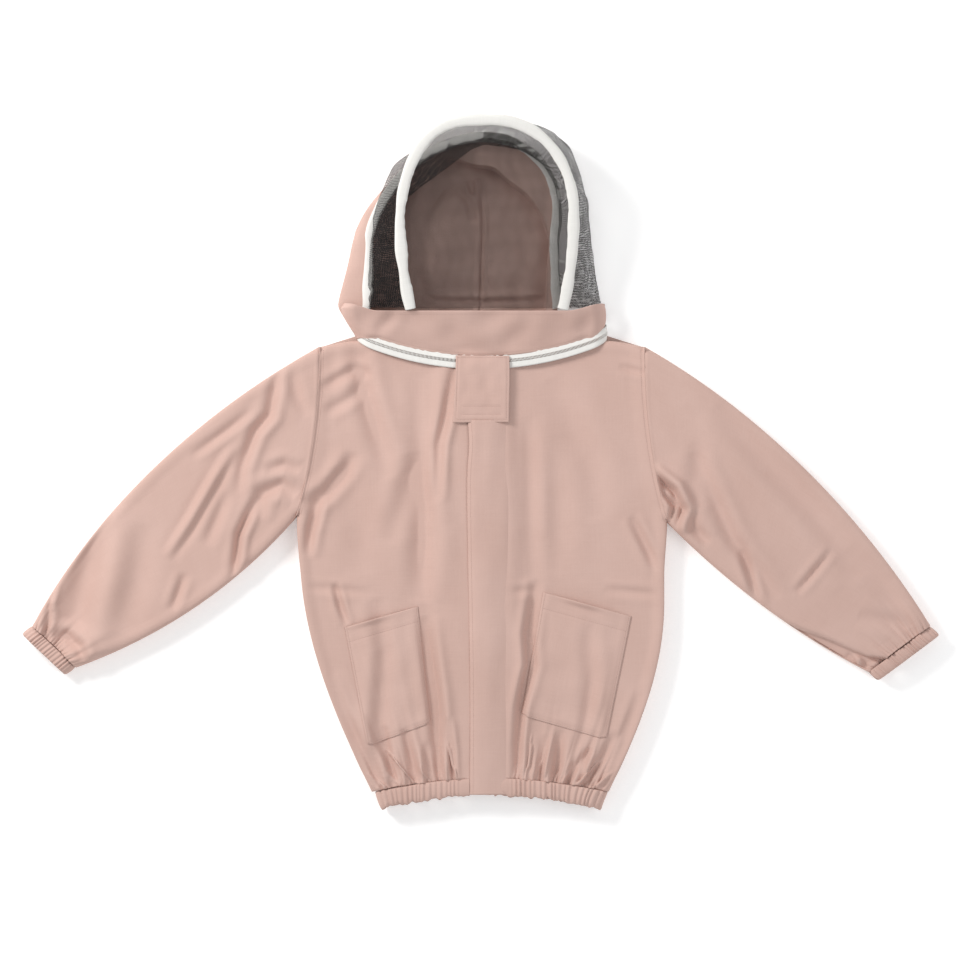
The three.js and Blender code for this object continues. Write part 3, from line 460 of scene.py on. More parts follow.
def outline_distance(points, line):
    """Distance of each point to a line of points, all in plan."""
    flat = points.reshape(-1, 2)
    best = np.full(len(flat), 1e9)
    for a, b in zip(line[:-1], line[1:]):
        d = b - a
        t = np.clip(((flat - a) @ d) / max(float(d @ d), 1e-12), 0, 1)
        best = np.minimum(best, np.hypot(*(flat - a - t[:, None] * d).T))
    return best.reshape(points.shape[:-1])


def crown(distance, reach=0.020, low=SEAM_Z, high=TOP):
    """Height over a rounded edge, from its distance to the seam."""
    t = np.clip(distance / reach, 0, 1)
    return low + (high - low) * np.sqrt(1 - (1 - t) ** 2)


# ---------------------------------------------------------------- the body's cloth

FULL_HALF = 0.301


BODY_FOLDS = [
    ([(-0.0966, -0.250), (-0.0861, -0.329), (-0.0782, -0.382), (-0.0729, -0.450), (-0.0700, -0.560)], 0.011,
     0.0095, 0.2),
    ([(-0.0565, -0.415), (-0.0505, -0.47), (-0.0467, -0.560)], 0.006, 0.006, 0.0),
    ([(0.0895, -0.190), (0.0769, -0.277), (0.0805, -0.330), (0.0611, -0.4025), (0.0559, -0.460),
      (0.0533, -0.570)],
     0.009, 0.0100, -0.2),
    ([(-0.175, -0.220), (-0.160, -0.303), (-0.165, -0.408), (-0.176, -0.540)], 0.014, 0.0055, -0.3),
    ([(-0.262, -0.350), (-0.235, -0.410), (-0.213, -0.450), (-0.170, -0.550)], 0.012, 0.0080, 0.1),
    ([(0.1766, -0.260), (0.1795, -0.356), (0.1716, -0.435), (0.160, -0.50)], 0.012, 0.0035, 0.2),
    ([(0.268, -0.370), (0.2343, -0.460), (0.1927, -0.529), (0.180, -0.56)], 0.010, 0.0075, 0.1),
    ([(0.222, -0.440), (0.198, -0.482), (0.1663, -0.529), (0.155, -0.56)], 0.008, 0.0065, 0.1),
    ([(0.178, -0.465), (0.155, -0.497), (0.140, -0.524), (0.130, -0.56)], 0.007, 0.0060, 0.1),
    ([(0.1300, -0.435), (0.1238, -0.487), (0.1160, -0.560)], 0.008, 0.0060, 0.0),
    ([(0.102, -0.445), (0.096, -0.49), (0.092, -0.56)], 0.007, 0.0045, 0.0),
    ([(-0.160, -0.430), (-0.149, -0.513), (-0.146, -0.56)], 0.008, 0.0050, 0.0),
    ([(-0.128, -0.435), (-0.1124, -0.513), (-0.108, -0.56)], 0.007, 0.0055, 0.0),
    ([(-0.092, -0.455), (-0.090, -0.51), (-0.088, -0.56)], 0.006, 0.0040, 0.0),
    ([(-0.2145, 0.215), (-0.1914, 0.110), (-0.175, 0.055), (-0.150, -0.02)], 0.016, 0.0065, 0.2),
    ([(-0.1150, 0.02), (-0.1040, -0.060), (-0.0966, -0.119), (-0.1023, -0.225)], 0.020, 0.0070, 0.1),
    ([(-0.150, -0.13), (-0.128, -0.05), (-0.110, 0.01)], 0.016, 0.0035, 0.0),
    ([(-0.0440, 0.175), (-0.0590, 0.085), (-0.0710, 0.035), (-0.074, -0.06)], 0.008, 0.0060, 0.25),
    ([(-0.108, 0.150), (-0.1023, 0.023), (-0.0861, -0.10)], 0.015, 0.0032, 0.1),
    ([(0.0740, 0.080), (0.0769, 0.020), (0.0822, -0.205)], 0.014, 0.0034, 0.2),
    ([(0.1100, 0.140), (0.1716, 0.0125), (0.1927, -0.090)], 0.024, 0.0038, 0.0),
    ([(0.125, 0.05), (0.128, -0.06), (0.120, -0.18)], 0.022, 0.0026, 0.1),
    ([(0.245, -0.085), (0.268, -0.130), (0.290, -0.175)], 0.008, 0.0050, 0.0),
    ([(0.225, 0.162), (0.27, 0.150)], 0.006, 0.0025, 0.0),
    ([(-0.265, 0.125), (-0.215, 0.155), (-0.18, 0.15)], 0.008, 0.0035, 0.1),
    ([(-0.26, 0.085), (-0.225, 0.105), (-0.19, 0.13)], 0.009, 0.0030, 0.0),
    ([(-0.292, -0.070), (-0.255, -0.045), (-0.225, -0.01), (-0.21, 0.02)], 0.011, 0.0065, 0.1),
    ([(-0.268, -0.055), (-0.283, -0.107), (-0.290, -0.15)], 0.009, 0.0070, 0.1),
    ([(-0.300, -0.20), (-0.24, -0.205), (-0.18, -0.21)], 0.007, 0.0016, 0.0),
    ([(0.035, -0.209), (0.09, -0.206)], 0.007, 0.0022, 0.1),
    ([(0.20, -0.205), (0.295, -0.214)], 0.007, 0.0022, 0.1),
    ([(-0.243, -0.195), (-0.232, -0.235), (-0.222, -0.262)], 0.006, 0.0045, 0.0),
    ([(-0.24, 0.0), (-0.20, -0.10), (-0.20, -0.18)], 0.026, 0.0030, 0.0),
]


def folds_of(x, y, folds):
    """Relief of a list of pressed folds: (path, half width, depth, lean) each."""
    total = np.zeros(np.shape(x))
    for path, width, depth, lean in folds:
        total += crease(x, y, path, width, depth, lean)
    return total


def body_sheet(rows, cols, rounds, fine_rounds):
    """The front, cut straight and gathered into the hem, as it lies."""
    v = np.linspace(CASING / 0.76, 1, rows)[:, None] * np.ones((1, cols))
    u = np.ones((rows, 1)) * np.linspace(-1, 1, cols)[None, :]
    plan = body_plan(u, v, front_top)
    x, y = plan[..., 0], plan[..., 1]
    h = y - HEM_Y
    ease = 0.22 * np.exp(-(h - CASING) / 0.055) + 0.035 * np.exp(-h / 0.22) + 0.004
    mid = (HEM_HALF[1] - HEM_HALF[-1]) / 2
    centre = mid * (1 - v)
    pattern = np.stack([(x - centre) * (1 + ease), y * 1.006], -1)
    seam_y = np.linspace(HEM_Y, ARMPIT_Y[1], 60)
    right_line = np.stack([side_half(1, seam_y), seam_y], -1)
    seam_y = np.linspace(HEM_Y, ARMPIT_Y[-1], 60)
    left_line = np.stack([-side_half(-1, seam_y), seam_y], -1)
    shoulder_x = np.linspace(0.2, SHOULDER_X, 12)
    top_right = np.stack([shoulder_x, front_top(shoulder_x)], -1)
    top_left = top_right * [-1, 1]
    edge = np.minimum(outline_distance(plan, right_line), outline_distance(plan, left_line))
    edge = np.minimum(edge, np.minimum(outline_distance(plan, top_right), outline_distance(plan, top_left)))
    rest = crown(edge)
    support = rest - 0.004 * smooth(0.0, 0.03, edge) * smooth(0.03, 0.10, np.abs(x))
    z = rest + 0.0006
    z += 0.0014 * ripples(x, y, 0.075, 3, (1.0, 5.0)) * smooth(0, 0.06, edge)
    z += 0.0008 * ripples(x, y, 0.060, 5, (1.3, 1.0)) * smooth(0, 0.06, edge)
    z += 0.0035 * ripples(x, y, 0.034, 11, (1.0, 6.0)) * np.exp(-h / 0.10)
    strip = smooth(0.030, 0.046, np.abs(x + 0.001))
    z = TOP + (z - TOP) * np.where(edge > 0.02, strip, 1)
    points = np.stack([x, y, np.maximum(z, support)], -1)
    pinned = np.zeros((rows, cols), bool)
    pinned[0] = pinned[-1] = True
    pinned[:, 0] = pinned[:, -1] = True
    points[0, :, 2] = 0.0335 + 0.0012 * ripples(x[0], y[0], 0.05, 21)
    points[0, :, 2] = np.minimum(points[0, :, 2], rest[0])
    hole = y[:, 0] > ARMPIT_Y[-1]
    points[hole, 0, 2] = np.minimum(0.0345, rest[hole, 0] + 0.018)
    hole = y[:, -1] > ARMPIT_Y[1]
    points[hole, -1, 2] = np.minimum(0.0345, rest[hole, -1] + 0.018)
    points[-1, :, 2] = np.where(np.abs(x[-1]) < 0.19, 0.0352, np.minimum(points[-1, :, 2], 0.034))
    flat_strip = np.abs(x) < 0.028
    points[flat_strip, 2] = np.where(edge[flat_strip] > 0.02, TOP, points[flat_strip, 2])
    pinned |= flat_strip
    return relaxed(points, pattern, pinned, support, rounds, fine_rounds), pattern, edge


BODY_ROWS, BODY_COLS = 181, 151
body_grid, body_pattern, body_edge = body_sheet(BODY_ROWS, BODY_COLS, 120,
                                                50)

PLEAT = 0.0078                 # pitch of the gathers along the hem elastic


def pleats(s, pitch, seed, sharp=0.75):
    """Gathers along an elastic: rounded ridges about `pitch` apart, with narrow valleys, 0 to 1."""
    drift = ripples(s, 0 * s, 0.06, seed, count=12) * 0.9 + ripples(s, 0 * s, 0.021, seed + 1, count=12) * 0.7
    wave = 0.5 + 0.5 * np.cos(2 * math.pi * s / pitch + drift)
    strong = 0.75 + 0.25 * ripples(s, 0 * s, 0.03, seed + 2, count=12)
    return np.clip(wave, 0, 1) ** sharp * np.clip(strong, 0.25, 1.3)


def gathers(x, h, flat=0.036):
    """Relief above the hem casing: fine pleats that run out, and fewer, longer folds."""
    away = smooth(flat, flat + 0.014, np.abs(x - 0.004))
    run = 0.026 + 0.014 * ripples(x, 0 * x, 0.022, 41, count=16) + 0.006
    fine = pleats(x, PLEAT, 31) * np.exp(-np.clip(h / np.clip(run, 0.008, 0.06), 0, 9) ** 1.5)
    long_run = 0.075 + 0.045 * ripples(x, 0 * x, 0.045, 44, count=16)
    broad = pleats(x, 0.0195, 35, 1.0) * np.exp(-np.clip(h / np.clip(long_run, 0.015, 0.12), 0, 9) ** 1.6)
    lift = smooth(-0.002, 0.022, h)
    return away * (0.0034 * (fine - 0.35) + 0.0092 * (broad - 0.3) * lift)


def fine_rows(count, dense, upto):
    """Row numbers of a sheet, closer together over its first `upto` rows."""
    return np.concatenate([np.linspace(0, upto, dense, endpoint=False), np.linspace(upto, count - 1, 165)])


BODY_FINE_COLS = 301
row_at = fine_rows(BODY_ROWS, 34, 16)
col_at = np.linspace(0, BODY_COLS - 1, BODY_FINE_COLS)
front_grid = resample(body_grid, row_at, col_at)
front_uv = resample(body_pattern, row_at, col_at)
front_u = np.linspace(-1, 1, BODY_FINE_COLS)
front_h = front_grid[..., 1] - hem_low(front_grid[..., 0]) - CASING
hem_x = -HEM_HALF[-1] + (HEM_HALF[1] + HEM_HALF[-1]) * (front_u + 1) / 2
follow = hem_x[None, :] * np.ones((len(row_at), 1))
side_fade = smooth(0.0, 0.02, np.minimum(follow + HEM_HALF[-1], HEM_HALF[1] - follow))
front_grid[..., 2] += gathers(follow, np.clip(front_h, 0, None)) * side_fade
front_edge = resample(np.repeat(body_edge[..., None], 3, -1), row_at, col_at)[..., 0]
beside_zip = np.where(front_grid[..., 0] > 0, smooth(0.034, 0.075, front_grid[..., 0]),
                      smooth(0.024, 0.045, -front_grid[..., 0]))
pressed = 1.35 * folds_of(front_grid[..., 0], front_grid[..., 1], BODY_FOLDS)
front_grid[..., 2] += pressed * smooth(0.004, 0.035, front_edge) * beside_zip
front_grid[..., 2] = np.maximum(front_grid[..., 2], 0.0215 * smooth(0.0, 0.03, front_edge))
front_grid[0, :, 2] -= 0.0015
below_neck = front_top(front_grid[..., 0]) - front_grid[..., 1]
front_grid[..., 2] = np.where(below_neck < 0.016,
                              np.minimum(front_grid[..., 2], 0.0352 + 0.05 * np.clip(below_neck, 0, 1)),
                              front_grid[..., 2])


def split_at_zip(side):
    """One front panel: the columns on its own side, its edge turned in beside the zip."""
    cols = np.where(front_u >= 0)[0] if side > 0 else np.where(front_u <= 0)[0]
    grid = front_grid[:, cols].copy()
    uv = front_uv[:, cols].copy()
    edge = 0.009
    x = grid[..., 0] * side
    near = x < edge + 0.004
    grid[..., 0] = np.where(near, side * (edge + np.clip(x / (edge + 0.004), 0, 1) ** 2 * 0.004),
                            grid[..., 0])
    return grid, uv


front_panels = {}
for name, side in (("right", -1), ("left", 1)):
    grid, uv = split_at_zip(side)
    obj = sheet_piece(f"front_{name}_cloth", grid, uv, COTTON)
    front_panels[name] = obj
    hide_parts(f"front_panel_{name}")
    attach(obj, "torso")

# ---------------------------------------------------------------- the back

BACK_ROWS, BACK_COLS = 90, 76
v = np.linspace(CASING / 0.76, 1, BACK_ROWS)[:, None] * np.ones((1, BACK_COLS))
u = np.ones((BACK_ROWS, 1)) * np.linspace(-1, 1, BACK_COLS)[None, :]
back_plan = body_plan(u, v, back_top)
lines = []
for side in (-1, 1):
    ys = np.linspace(HEM_Y, ARMPIT_Y[side], 50)
    lines.append(np.stack([side * side_half(side, ys), ys], -1))
edge = np.minimum(outline_distance(back_plan, lines[0]), outline_distance(back_plan, lines[1]))
bx, by = back_plan[..., 0], back_plan[..., 1]
bz = SEAM_Z - 0.0012 - (SEAM_Z - 0.0034) * np.sqrt(1 - (1 - np.clip(edge / 0.020, 0, 1)) ** 2)
bz += 0.0011 * np.clip(ripples(bx, by, 0.09, 71, (1.0, 2.0)), -1, 2) * smooth(0, 0.03, edge)
hole = (by > np.where(bx > 0, ARMPIT_Y[1], ARMPIT_Y[-1]))
bz += np.clip(gathers(bx, np.clip(by - hem_low(bx) - CASING, 0, None), 0.0), 0, 1) * 0.5 * smooth(0, 0.03,
                                                            edge)
back_grid = np.stack([bx, by, np.maximum(bz, 0.0014)], -1)
back_uv = np.stack([u * FULL_HALF, v * 0.76], -1)
back_obj = sheet_piece("back_cloth", back_grid, back_uv, COTTON, flip=True)
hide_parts("back_panel")
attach(back_obj, "torso")

# ---------------------------------------------------------------- elastic casings


def ring_band(name, path_points, out, along, section, relief, material, uv_scale=1.0, closed=False):
    """A band whose closed section runs along a path. `section` gives pairs of outward and
    along-axis offsets, `relief` the pleat height at each point for each section point."""
    count, loop = len(path_points), len(section)
    grid = np.zeros((count, loop, 3))
    for k, (a, b) in enumerate(section):
        grid[:, k] = path_points + out * (a + relief[:, k])[:, None] + along * b
    faces = []
    rows = range(count if closed else count - 1)
    for i in rows:
        j = (i + 1) % count
        for k in range(loop):
            m = (k + 1) % loop
            faces.append((i * loop + k, i * loop + m, j * loop + m, j * loop + k))
    step = np.concatenate([[0], np.cumsum(np.linalg.norm(np.diff(path_points, axis=0), axis=1))])
    run = np.concatenate([[0], np.cumsum([math.dist(section[k], section[k + 1]) for k in range(loop - 1)])])
    uv = np.stack(np.broadcast_arrays(step[:, None] * uv_scale, run[None, :]), -1)
    obj = make_mesh(name, grid, faces, uv, material=material)
    if not closed:
        mesh = bmesh.new()
        mesh.from_mesh(obj.data)
        bmesh.ops.holes_fill(mesh, edges=[e for e in mesh.edges if e.is_boundary], sides=0)
        mesh.to_mesh(obj.data)
        mesh.free()
    mesh = bmesh.new()
    mesh.from_mesh(obj.data)
    bmesh.ops.recalc_face_normals(mesh, faces=mesh.faces[:])
    mesh.to_mesh(obj.data)
    mesh.free()
    return obj


def hem_ring(start, pitch, inset=0.0):
    """Points round the hem from beside the zip, round the sides and the back, and back again."""
    right, left = HEM_HALF[1], -HEM_HALF[-1]
    rx = 0.021 - inset
    top, low, mid = TOP - inset, 0.0012 + inset, 0.0185
    pieces = [np.stack([np.linspace(start, right - rx - inset, 200), np.full(200, top)], -1)]
    turn = np.linspace(0, math.pi, 40)[1:-1]
    pieces.append(np.stack([right - rx - inset + rx * np.sin(turn), mid + (top - mid) * np.cos(turn)], -1))
    pieces.append(np.stack([np.linspace(right - rx, left + rx, 400), np.full(400, low)], -1))
    pieces.append(np.stack([left + rx + inset - rx * np.sin(turn), mid - (top - mid) * np.cos(turn)], -1))
    pieces.append(np.stack([np.linspace(left + rx + inset, -start, 200), np.full(200, top)], -1))
    line = np.concatenate(pieces)
    step = np.concatenate([[0], np.cumsum(np.hypot(*np.diff(line, axis=0).T))])
    at = np.linspace(0, step[-1], int(step[-1] / pitch))
    x = np.interp(at, step, line[:, 0])
    z = np.interp(at, step, line[:, 1])
    tangent = np.gradient(np.stack([x, z], -1), axis=0)
    tangent /= np.linalg.norm(tangent, axis=1)[:, None]
    out = np.stack([-tangent[:, 1], 0 * x, tangent[:, 0]], -1)
    if out[len(out) // 8, 2] < 0:
        out = -out
    return np.stack([x, hem_low(x), z], -1), out, at


BAND = [(-0.0016, 0.0284), (0.0000, 0.0278), (0.0010, 0.0250), (0.0017, 0.0200), (0.0019, 0.0140),
        (0.0017, 0.0080), (0.0010, 0.0028), (-0.0006, -0.0002), (-0.0028, 0.0006), (-0.0040, 0.0050),
        (-0.0044, 0.0130), (-0.0042, 0.0220), (-0.0034, 0.0282)]
BAND_RELIEF = [0.2, 0.9, 1.0, 0.85, 0.8, 0.9, 1.0, 0.5, -0.3, -0.5, -0.5, -0.5, -0.2]

points, out, at = hem_ring(0.0203, 0.00125)
relief = pleats(points[:, 0], PLEAT, 31)
away = smooth(0.036, 0.05, np.abs(points[:, 0] - 0.004)) + (points[:, 2] < 0.02)
height = (relief - 0.35) * 0.0034 * np.clip(away, 0, 1)
low_side = points[:, 2] < 0.01
height = np.where(low_side, np.minimum(height, 0.0), height)
band_relief = height[:, None] * np.array(BAND_RELIEF)[None, :]
casing = ring_band("hem_casing_cloth", points, out, np.array([0, 1.0, 0]), BAND, band_relief, COTTON, 1.5)
coords = np.array([v.co for v in casing.data.vertices])
wobble = 0.0014 * ripples(coords[:, 0], coords[:, 2], 0.014, 81)
above = np.clip((coords[:, 1] - hem_low(coords[:, 0])) / CASING, 0, 1)
at_side = smooth(0.11, 0.19, np.abs(coords[:, 0]))
coords[:, 0] += np.sign(coords[:, 0]) * 0.011 * above**1.5 * at_side
coords[:, 1] += wobble * (coords[:, 1] < hem_low(coords[:, 0]) + 0.008)
coords[:, 2] = np.maximum(coords[:, 2], 0.0002)
casing.data.vertices.foreach_set("co", coords.astype(np.float32).ravel())
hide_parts("hem_casing_right", "hem_casing_left", "hem_casing_back")
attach(casing, "torso")

points, out, at = hem_ring(0.046, 0.004)
flat_section = [(-0.0014, 0.0055), (-0.0014, 0.0245), (-0.0026, 0.0245), (-0.0026, 0.0055)]
elastic = ring_band("hem_elastic_band", points, out, np.array([0, 1.0, 0]), flat_section,
                    np.zeros((len(points), 4)), ELASTIC)
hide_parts("hem_elastic")
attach(elastic, "torso")

# ---------------------------------------------------------------- sleeves


def sleeve_plan(side, u, v):
    """A sleeve's laid shape: v from 0 at the armhole to 1 at the wrist, u from its top edge down."""
    u, v = np.asarray(u, float), np.asarray(v, float)
    top, under = bezier(SLEEVE_TOP[side], v), bezier(SLEEVE_UNDER[side], v)
    plan = top + (under - top) * u[..., None]
    y0 = SHOULDER_Y + (ARMPIT_Y[side] - SHOULDER_Y) * u
    hole = np.stack([side * (side_half(side, np.maximum(y0, ARMPIT_Y[side] + 1e-5)) + 0.0003), y0], -1)
    chord = np.array(SLEEVE_TOP[side][0]) + (np.array(SLEEVE_UNDER[side][0]) - SLEEVE_TOP[side][0]) * u[...,
                                                            None]
    return plan + (hole - chord) * ((1 - np.clip(v * 3, 0, 1)) ** 2)[..., None]


SLEEVE_FOLDS = {
    -1: [
        ([(-0.330, 0.165), (-0.348, 0.079), (-0.371, 0.053), (-0.394, -0.005), (-0.400, -0.045)], 0.009,
         0.0055, 0.2),
        ([(-0.405, 0.030), (-0.440, -0.025), (-0.480, -0.092), (-0.520, -0.150)], 0.007, -0.0042, 0.2),
        ([(-0.375, 0.085), (-0.420, 0.050), (-0.475, 0.010)], 0.007, 0.0026, 0.1),
        ([(-0.372, -0.050), (-0.4013, -0.1105), (-0.413, -0.185)], 0.007, 0.0060, 0.2),
        ([(-0.418, -0.045), (-0.440, -0.095), (-0.455, -0.13)], 0.010, 0.0032, 0.0),
        ([(-0.490, -0.175), (-0.513, -0.235)], 0.007, 0.0030, 0.0),
        ([(-0.622, -0.060), (-0.644, -0.156), (-0.670, -0.251), (-0.722, -0.330)], 0.026, 0.0085, 0.25),
        ([(-0.694, -0.170), (-0.712, -0.240)], 0.005, 0.0050, 0.0),
        ([(-0.706, -0.230), (-0.722, -0.29)], 0.006, 0.0040, 0.0),
        ([(-0.705, -0.290), (-0.685, -0.282), (-0.664, -0.297), (-0.650, -0.335)], 0.010, 0.0045, 0.2),
        ([(-0.306, -0.050), (-0.330, -0.030), (-0.362, -0.045), (-0.372, -0.085)], 0.011, 0.0055, 0.1),
        ([(-0.300, -0.010), (-0.325, 0.0), (-0.355, -0.01)], 0.009, 0.0035, 0.0),
        ([(-0.315, 0.155), (-0.300, 0.105), (-0.285, 0.08)], 0.010, 0.0028, 0.0),
        ([(-0.56, -0.10), (-0.57, -0.19), (-0.60, -0.27)], 0.024, 0.0028, 0.0),
    ],
    1: [
        ([(0.345, 0.035), (0.3836, -0.0577), (0.4146, -0.120), (0.4381, -0.151), (0.490, -0.215)], 0.012,
         0.0045, 0.1),
        ([(0.428, -0.135), (0.442, -0.175), (0.458, -0.225)], 0.007, 0.0045, 0.0),
        ([(0.575, -0.140), (0.5500, -0.170), (0.5180, -0.208)], 0.006, 0.0032, 0.0),
        ([(0.385, 0.095), (0.4146, 0.055), (0.477, -0.011), (0.539, -0.073), (0.590, -0.135),
          (0.62, -0.19)], 0.020, 0.0042, -0.3),
        ([(0.275, -0.012), (0.3135, -0.042), (0.3290, -0.069), (0.3180, -0.102)], 0.008, 0.0110, 0.4),
        ([(0.288, -0.035), (0.3168, -0.0654), (0.3080, -0.095)], 0.005, 0.0070, 0.1),
        ([(0.335, -0.06), (0.350, -0.10), (0.375, -0.125)], 0.010, 0.0040, 0.0),
        ([(0.345, 0.02), (0.350, -0.03), (0.362, -0.07)], 0.014, 0.0030, 0.0),
        ([(0.60, -0.14), (0.66, -0.20), (0.70, -0.27)], 0.022, 0.0030, 0.0),
        ([(0.62, -0.245), (0.68, -0.262), (0.735, -0.29)], 0.012, 0.0026, 0.0),
    ],
}
TURNED_EDGE = [(0.455, -0.228), (0.4848, -0.2424), (0.516, -0.2583), (0.5706, -0.2797), (0.6369, -0.3109),
               (0.6951, -0.3226),
               (0.74, -0.331)]


def tucked(x, y, path, depth):
    """Cloth folded under along `path`: the layer below it lies deeper, in small gathers."""
    path = np.array(path)
    line = np.interp(x, path[:, 0], path[:, 1])
    below = line - y
    fade = smooth(path[0, 0] + 0.01, path[0, 0] + 0.07, x)
    step = smooth(-0.0015, 0.0035, below)
    lip = np.exp(-(((below + 0.006) / 0.008) ** 2)) * 0.0012
    rumple = 0.0035 * ripples(x, y, 0.018, 187, (1.0, 2.2)) * smooth(0.004, 0.014, below) * smooth(0.58,
                                                            0.64, x)
    return fade * (lip - depth * step + rumple)


SLEEVE_ROWS, SLEEVE_COLS = 141, 63
CUFF_AT = {"top": 0.968, "under": 0.947}


def sleeve_sheet(side, rounds, fine_rounds):
    u = np.linspace(0, 1, SLEEVE_COLS)[None, :] * np.ones((SLEEVE_ROWS, 1))
    last = CUFF_AT["top"] + (CUFF_AT["under"] - CUFF_AT["top"]) * u
    v = np.linspace(0, 1, SLEEVE_ROWS)[:, None] * last
    plan = sleeve_plan(side, u, v)
    x, y = plan[..., 0], plan[..., 1]
    edges = [sleeve_plan(side, np.zeros(60), np.linspace(0, 1, 60)),
             sleeve_plan(side, np.ones(60), np.linspace(0, 1, 60))]
    edge = np.minimum(outline_distance(plan, edges[0]), outline_distance(plan, edges[1]))
    rest = crown(edge)
    support = rest - 0.004 * smooth(0, 0.03, edge)
    away = smooth(0, 0.05, edge)
    z = rest + 0.0006 + 0.0010 * ripples(x, y, 0.09, 7 + side, (1.6, 1.0)) * away
    share = v / last
    ease = 0.003 + 0.03 * share**8 + 0.012 * np.exp(-share / 0.05)
    spine = plan[:, SLEEVE_COLS // 2: SLEEVE_COLS // 2 + 1]
    pattern = spine * 1.002 + (plan - spine) * (1 + ease)[..., None]
    points = np.stack([x, y, np.maximum(z, support)], -1)
    pinned = np.zeros((SLEEVE_ROWS, SLEEVE_COLS), bool)
    pinned[0] = pinned[-1] = True
    pinned[:, 0] = pinned[:, -1] = True
    points[0, :, 2] = np.minimum(rest[0], 0.0332)
    points[-1, :, 2] = np.minimum(rest[-1], 0.0330)
    return relaxed(points, pattern, pinned, support, rounds, fine_rounds), plan, edge, v


def sleeve_piece(side, name):
    upper, plan, edge, v = sleeve_sheet(side, 90, 40)
    rows = np.concatenate([np.linspace(0, 110, 90, endpoint=False), np.linspace(110, SLEEVE_ROWS - 1, 60)])
    cols = np.linspace(0, SLEEVE_COLS - 1, 81)
    top = resample(upper, rows, cols)
    flat = resample(plan, rows, cols)
    near = resample(edge, rows, cols)
    share = rows / (SLEEVE_ROWS - 1)
    width = np.linalg.norm(flat[:, -1] - flat[:, 0], axis=-1)
    along_cuff = (cols / (SLEEVE_COLS - 1))[None, :] * width[-1]
    to_cuff = (1 - share)[:, None] * 0.62
    reach = np.clip(0.020 + 0.010 * ripples(along_cuff, 0 * along_cuff, 0.02, 51 + side, count=16), 0.008,
                    0.05)
    pleat = pleats(along_cuff, 0.0056, 53 + side) * np.exp(-np.clip(to_cuff / reach, 0, 9) ** 1.5)
    far = np.clip(0.045 + 0.02 * ripples(along_cuff, 0 * along_cuff, 0.03, 55 + side, count=16), 0.02, 0.09)
    broad = pleats(along_cuff, 0.015, 57 + side, 1.0) * np.exp(-np.clip(to_cuff / far, 0, 9) ** 1.6)
    soft = smooth(0, 0.010, near)
    top[..., 2] += soft * (0.0030 * (pleat - 0.3 * np.exp(-to_cuff / 0.03))
                           + 0.0050 * (broad - 0.3 * np.exp(-to_cuff / 0.06)))
    relief = 1.7 * folds_of(flat[..., 0], flat[..., 1], SLEEVE_FOLDS[side]) * smooth(0.001, 0.016, near)
    if side > 0:
        relief = relief + tucked(flat[..., 0], flat[..., 1], TURNED_EDGE, 0.0125) * smooth(0.0, 0.006, near)
    at_hole = smooth(0.0, 0.02, share)[:, None]
    top[..., 2] = np.maximum(top[..., 2] + relief * at_hole, np.minimum(top[..., 2], SEAM_Z + 0.001))
    low_cols = np.linspace(SLEEVE_COLS - 1, 0, 49)
    flat_low = resample(plan, rows, low_cols)
    near_low = resample(edge, rows, low_cols)
    z_low = SEAM_Z - (SEAM_Z - 0.0016) * np.sqrt(1 - (1 - np.clip(near_low / 0.020, 0, 1)) ** 2)
    z_low += 0.0009 * np.clip(ripples(flat_low[..., 0], flat_low[..., 1], 0.06, 95 + side), -0.5,
                              2) * smooth(0, 0.03, near_low)
    z_low[0] = np.maximum(z_low[0], 0.003)
    low = np.concatenate([flat_low, np.maximum(z_low, 0.0013)[..., None]], -1)
    tube = np.concatenate([top, low[:, 1:]], axis=1)
    tube[:, -1] = tube[:, 0]
    girth = np.concatenate([np.zeros((len(rows), 1)),
                            np.cumsum(np.linalg.norm(np.diff(tube, axis=1), axis=-1), axis=1)], 1)
    lengths = share[:, None] * 0.62 + 0 * girth
    uv = np.stack([girth - girth[:, -1:] / 2, lengths], -1)
    obj = sheet_piece(f"sleeve_{name}_cloth", tube, uv, COTTON, flip=side > 0)
    mesh = bmesh.new()
    mesh.from_mesh(obj.data)
    bmesh.ops.remove_doubles(mesh, verts=mesh.verts[:], dist=1e-6)
    mesh.to_mesh(obj.data)
    mesh.free()
    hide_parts(f"sleeve_upper_{name}", f"sleeve_under_{name}")
    return obj, tube


